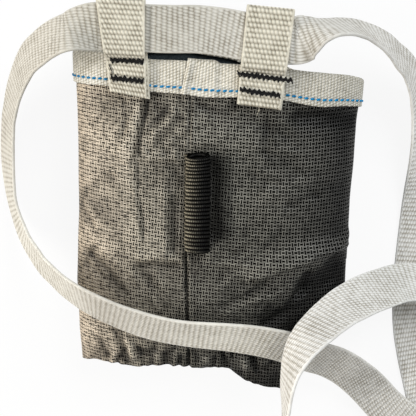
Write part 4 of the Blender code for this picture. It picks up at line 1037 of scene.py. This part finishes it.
# Belt loops: two straps of the same webbing folded over the belt, both leaves of each sewn to the front of
# the rim. The upper leaf ends in a cut edge below the binding.
LOOP_THICKNESS = 0.0016
LOOP_PICK = 0.0026
LOOP_YARNS = 6.0
LOOP_SWELLS = (0.16, 0.04)
BELT_PLANE = 0.0529
LOWER_LEAF = 0.0027 + LOOP_THICKNESS / 2
UPPER_LEAF = LOWER_LEAF + LOOP_THICKNESS + LAYER_GAP
BELT_CLEAR = BELT_THICKNESS / 2 + 0.0004 + LOOP_THICKNESS / 2
LEAF_LEVELS = {"upper": UPPER_LEAF, "lower": LOWER_LEAF}
BELT_LEVELS = {
    "over": 1.0, "over_shoulder": 0.86, "over_half": 0.5, "middle": 0.0,
    "under_half": -0.5, "under_shoulder": -0.86, "under": -1.0,
}
LOOP_PATH_MM = (
    ("upper", -1.4, "foot", 0), ("upper", -0.9, "foot", -2.6), ("upper", 0, "foot", -5.8),
    ("upper", 0, "rim", 6), ("upper", 0, "climb", 0), ("over", -0.3, "climb", -2.8),
    ("over", 0, "climb", -5.2), ("over", 0, "rim", -16),
    ("over", 0, "crown", 3.4), ("over_shoulder", 0, "crown", 1.4), ("over_half", 0, "crown", 0.3),
    ("middle", 0, "crown", 0), ("under_half", 0, "crown", 0.3), ("under_shoulder", 0, "crown", 1.4),
    ("under", 0, "crown", 3.4), ("under", 0, "rim", -16), ("under", 0, "rim", -5),
    ("lower", 0, "rim", 1.2), ("lower", 0, "rim", 6), ("lower", 0, "foot", -5.8),
    ("lower", -0.9, "foot", -2.6), ("lower", -1.4, "foot", 0.4),
)


def front_height(x):
    """Z of the wall's outer face on the front near the rim."""
    ring = on_bag(np.linspace(0.25, 0.75, 241), drop=0.004)
    order = np.argsort(ring[:, 0])
    return np.interp(x, ring[order, 0], ring[order, 2])


def rounded_path(path, spacing):
    """The path resampled evenly with its corners eased."""
    run = run_along(path[:, :2])
    even = np.arange(0.0, run[-1], 0.0001)
    at = np.linspace(0.0, even[-1], int(round(run[-1] / spacing)) + 1)
    lines = [eased(np.interp(even, run, line), 12) for line in path.T]
    return np.stack([np.interp(at, even, line) for line in lines], axis=1), at


def belt_loop(name, foot, lean, slope, crown_slope, length, shift, climb, widths, node):
    """One loop: its path from the upper leaf's cut edge over the belt and back to the lower leaf's edge, as
    a strip whose foot and crown have slopes of their own."""
    foot_x, foot_y = foot[0] * MM, foot[1] * MM
    rim = float(np.interp(foot_x, *FRONT_RIM)) + ORIGIN_Y
    front = float(front_height(foot_x))
    lines = {"foot": rim - foot_y, "rim": 0.0, "climb": climb, "crown": rim - foot_y - length}
    path = []
    for level, rise, line, drop in LOOP_PATH_MM:
        on_leaf = level in LEAF_LEVELS
        base = front + LEAF_LEVELS[level] if on_leaf else BELT_PLANE + BELT_LEVELS[level] * BELT_CLEAR
        path.append((base + rise * MM, lines[line] + drop * MM, float(on_leaf)))
    path, run = rounded_path(np.array(path), LOOP_PICK / 5)
    way = unit(np.gradient(path[:, :2], axis=0))
    side = np.stack([-way[:, 1], way[:, 0]], axis=1)
    turned = path[:, 1].argmin()
    lower = between(path[:, 1], lines["crown"], lines["crown"] + length) * (np.arange(len(path)) > turned)
    section = strip_section()
    heights = woven_heights(section, run, LOOP_PICK, LOOP_SWELLS) * LOOP_THICKNESS / 2
    narrowing = np.interp(path[:, 1], (lines["crown"], lines["climb"] - 0.004, lines["foot"]), widths)
    rows = []
    for s, high in zip(section[:, 0], heights.T):
        a = s * narrowing / 2
        line = path[:, :2] + side * high[:, None]
        up = rim - line[:, 1]
        x = foot_x + lean * (up - foot_y) + a + shift * lower
        y = up + a * np.interp(line[:, 1], (lines["rim"], lines["foot"]), (crown_slope, slope))
        z = line[:, 0] + path[:, 2] * (front_height(x) - front)
        rows.append(np.stack([x, y - ORIGIN_Y, z], axis=1))
    points = np.stack(rows, axis=1).reshape(-1, 3)
    uv = weave_uv(run / LOOP_PICK, section[:, 0] * LOOP_YARNS)
    made = mesh_piece(name, points, sleeve_faces(len(run), len(section)), LOOP_WEBBING, uv)
    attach(made, "bag")
    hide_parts(node)


LOOP_WEBBING = webbing_skin(
    "loop_webbing", (0.80, 0.76, 0.64), (0.50, 0.465, 0.375), (0.22, 0.195, 0.14), 0.0005, LOOP_YARNS,
)
belt_loop(
    "loop_strap_left", (-48.0, 155.9), -0.058, -0.190, -0.060, 0.0514, 0.0016, 0.0004,
    (0.0262, 0.0222, 0.0202), "belt_loop_left",
)
belt_loop(
    "loop_strap_right", (22.3, 149.7), 0.112, -0.130, -0.100, 0.0516, 0.0008, 0.0026,
    (0.0254, 0.0246, 0.0236), "belt_loop_right",
)

# Loose yarn: an end of yarn that has come out of the cut edge of the right loop and lies a few millimetres
# down the wall. It thins out toward its tip.
YARN_X, YARN_Y = 0.0222, 0.1500
YARN_POINTS = 16
UPRIGHT = (0.0, 0.0, 1.0)
share = np.linspace(0.0, 1.0, YARN_POINTS)
line = np.stack([
    YARN_X + 0.0005 * np.sin(share * 5.0), YARN_Y - 0.0052 * share - ORIGIN_Y,
    float(front_height(YARN_X)) + 0.0026 - 0.0014 * share,
], axis=1)
end_of_yarn = thread_tube(line, np.tile(UPRIGHT, (YARN_POINTS, 1)), 0.00028 - 0.00016 * share)
loose = joined("loose_yarn", [end_of_yarn], LOOP_WEBBING)
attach(loose, "bag")
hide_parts("belt_loop_right")

# Bar tacks: black thread zigzagged to and fro across each loop, thick enough to stand up from the webbing. A
# tail of it hangs between the two rows of the left loop.
TACK_PITCH = 0.0026
TACK_HEIGHT = UPPER_LEAF + LOOP_THICKNESS / 2 + 0.0003
TACK_THREAD = 0.00032
TACK_CORE = 0.00040
TACK_ROWS_MM = (
    ("left_upper", (-57.4, 174.8), (-39.3, 173.6), 1.75, False),
    ("left_lower", (-57.2, 165.2), (-39.4, 163.4), 1.75, True),
    ("right_upper", (10.6, 167.5), (40.2, 163.5), 1.60, False),
    ("right_lower", (12, 158.9), (33.6, 155.7), 1.75, False),
)
TACK_LAYERS = ((1.0, 0.0, 0.0003), (0.75, 0.5, 0.0))
TACK_STRAY, TACK_REACHES, TACK_ROLL = 0.22, (0.65, 1.25), 0.0002
CORE_OFFSETS_MM, CORE_WANDER, CORE_SINK = (-0.36, 0.30), 0.00012, 0.0001
TAIL_LENGTH, TAIL_BEND, TAIL_DRIFT = 0.0070, 0.0007, 0.0004


def over_loop(start, end, share, aside, rise):
    """Points of a line across a loop, some way beside it and above the webbing."""
    x = start[0] + (end[0] - start[0]) * share
    y = start[1] + (end[1] - start[1]) * share - ORIGIN_Y + aside
    return np.stack([x, y, front_height(x) + TACK_HEIGHT + rise], axis=1)


BLACK = sewing_thread("black_thread", (0.0015, 0.0015, 0.0015), (0.010, 0.010, 0.010), 0.6)
chance = np.random.default_rng(7)
for name, start, end, half, tail in TACK_ROWS_MM:
    a, b = np.array(start) * MM, np.array(end) * MM
    turns = int(round((b[0] - a[0]) / TACK_PITCH * 2))
    threads = []
    for wide, lag, lift in TACK_LAYERS:
        corner = np.arange(turns + 1)
        stray = chance.uniform(-TACK_STRAY, TACK_STRAY, turns + 1)
        share = np.clip((corner + lag * (corner < turns) + stray) / turns, 0.0, 1.0)
        reach = chance.uniform(*TACK_REACHES, turns + 1) * half * wide * MM
        swing = np.where(corner % 2 == 0, 1.0, -1.0) * reach
        fine = np.linspace(0.0, turns, turns * 8 + 1)
        rise = lift + TACK_ROLL * np.cos(fine * math.pi * 2)
        threads.append(over_loop(a, b, np.interp(fine, corner, share), np.interp(fine, corner, swing), rise))
    for offset in CORE_OFFSETS_MM:
        share = np.linspace(0.0, 1.0, 80)
        wander = offset * MM + CORE_WANDER * np.sin(share * 60 + offset)
        threads.append(over_loop(a, b, share, wander, -CORE_SINK))
    if tail:
        share = np.linspace(0.0, 1.0, 24)
        x = a[0] + 0.0002 + TAIL_BEND * np.sin(share * 4.2) - TAIL_DRIFT * share
        y = a[1] - ORIGIN_Y + TAIL_LENGTH * share
        threads.append(np.stack([x, y, front_height(x) + TACK_HEIGHT + 0.0002], axis=1))
    radii = [TACK_THREAD, TACK_THREAD, TACK_CORE, TACK_CORE, TACK_THREAD * 0.8]
    rows = [thread_tube(t, np.tile(UPRIGHT, (len(t), 1)), r) for t, r in zip(threads, radii)]
    tack = joined("tack_thread_" + name, rows, BLACK)
    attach(tack, "bag")
    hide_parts("bartack_" + name)

# Brush loop: a tube of ribbed black elastic that holds a brush, laid along the front seam and sewn to it by
# one edge. Covered rubber cords make its ribs, with a fine knit over them.
TUBE_CENTRE = (-0.0105, 0.0178, 0.0536)
TUBE_LENGTH = 0.0545
TUBE_HALF_WIDTH = 0.0071
TUBE_HALF_HEIGHT = 0.0052
TUBE_WALL = 0.0012
TUBE_RIBS = 26
TUBE_EDGE = (-0.0182, 0.0482)
TUBE_AROUND = 72
RIB_STEPS = 8
RIB_HEIGHT, BORE_RELIEF = 0.0008, 0.0002
KNIT_AROUND, BORE_KNIT_AROUND = 36, 5
TUBE_WIDE, TUBE_TAPER = 0.94, 0.06
FOOT_PINCH, FOOT_PINCH_SHARE = 0.05, 0.08
TOP_SLOPE, END_SKEW, TUBE_LEAN = 0.0027, 0.0006, 0.0008
FLANGE_DEGREES, FLANGE_BREADTH = 222, 9


def ribbed_elastic(name):
    """Black elastic with a warm painted highlight on its left side, toward the key lamp, painted shade on its
    right side and grooves painted blacker.
    """
    skin, tree, shader = cloth_shader(name, 0.45, 0.02, 0.35)
    along, around = weave_place(tree)
    rib, stitch = scaled(wave(along, FULL_TURN), -0.5, 0.5), scaled(wave(around, FULL_TURN), 0.25, 0.75)
    # The knit paints the grooves between the ribs blacker, as painted shade.
    knit = times(rib, stitch)
    tone = times(scaled(noise(tree, 350.0, 3.0), 0.9, 0.25), knit, clamp=True)
    stops = ((0.0, (0.002, 0.002, 0.0018)), (0.35, (0.085, 0.080, 0.068)), (1.0, (0.90, 0.84, 0.70)))
    # Painted light round the tube: a warm painted highlight on the left side, which faces the key lamp, and
    # painted shade on the right.
    painted_shading = ramp(maths("DIVIDE", around, float(KNIT_AROUND)), (
        (0.18, (0.03, 0.03, 0.03)), (0.25, (0.14, 0.14, 0.13)), (0.34, (0.50, 0.48, 0.42)),
        (0.42, (1.0, 0.95, 0.82)), (0.58, (1.0, 0.95, 0.82)), (0.64, (0.25, 0.25, 0.24)),
    ))
    tree.links.new(tinted(ramp(tone, stops), painted_shading), shader.inputs["Base Color"])
    tree.links.new(times(knit, 0.22), shader.inputs["Specular IOR Level"])
    bumped(shader, knit, 0.0004)
    return skin


ELASTIC = ribbed_elastic("black_ribbed_elastic")
tube_low = TUBE_CENTRE[1] - TUBE_LENGTH / 2
angles = 2 * math.pi * np.arange(TUBE_AROUND + 1) / TUBE_AROUND
flange = hump(np.degrees(angles), FLANGE_DEGREES, FLANGE_BREADTH)
rings, uv = [], []
steps = TUBE_RIBS * RIB_STEPS
for bore in (False, True):
    for i in (range(steps, -1, -1) if bore else range(steps + 1)):
        share = i / steps
        rib = 0.5 - 0.5 * math.cos(2 * math.pi * i / RIB_STEPS)
        grow = BORE_RELIEF * (1 - rib) - TUBE_WALL if bore else RIB_HEIGHT * rib**0.6
        wobble = 0.00018 * math.sin(i * 0.21) + 0.00012 * math.sin(i * 0.57)
        wide = TUBE_WIDE - TUBE_TAPER * share - FOOT_PINCH * max(0.0, 1.0 - share / FOOT_PINCH_SHARE)
        y = tube_low + TUBE_LENGTH * share - TOP_SLOPE * share**6 * (0.5 + 0.5 * np.sin(angles))
        y = y + END_SKEW * np.cos(angles) * (share - 0.5)
        x = TUBE_CENTRE[0] + (TUBE_HALF_WIDTH + grow) * wide * np.cos(angles)
        x = x + wobble + TUBE_LEAN * (share - 0.5)
        z = TUBE_CENTRE[2] + (TUBE_HALF_HEIGHT + grow) * np.sin(angles)
        if not bore:
            x = x * (1 - flange) + (TUBE_EDGE[0] + 0.0001) * flange
            z = z * (1 - flange) + TUBE_EDGE[1] * flange
        rings.append(np.stack([x, y, z], axis=1))
        knits = angles / (2 * math.pi) * (BORE_KNIT_AROUND if bore else KNIT_AROUND)
        uv.append(np.stack([np.full_like(x, i / RIB_STEPS), knits], axis=1))
faces = sleeve_faces(len(rings), TUBE_AROUND, closed=True, seam=True)
brush = mesh_piece("brush_tube", np.concatenate(rings), faces, ELASTIC, np.concatenate(uv))
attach(brush, "brush_holder")
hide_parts("brush_loop")

# Buckle: a side release buckle moulded in black acetal that closes the belt. Its socket, its plug and the
# plug's two prongs are shown by the part's own solids.
ACETAL_GREYS = ((0.3, (0.010, 0.010, 0.011)), (0.7, (0.026, 0.026, 0.028)))
acetal = grained_plastic("black_acetal", 0.36, 1400.0, 3.0, ACETAL_GREYS, 0.00008)
for name in BUCKLE_NODES:
    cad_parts[name].material_slots[0].material = acetal
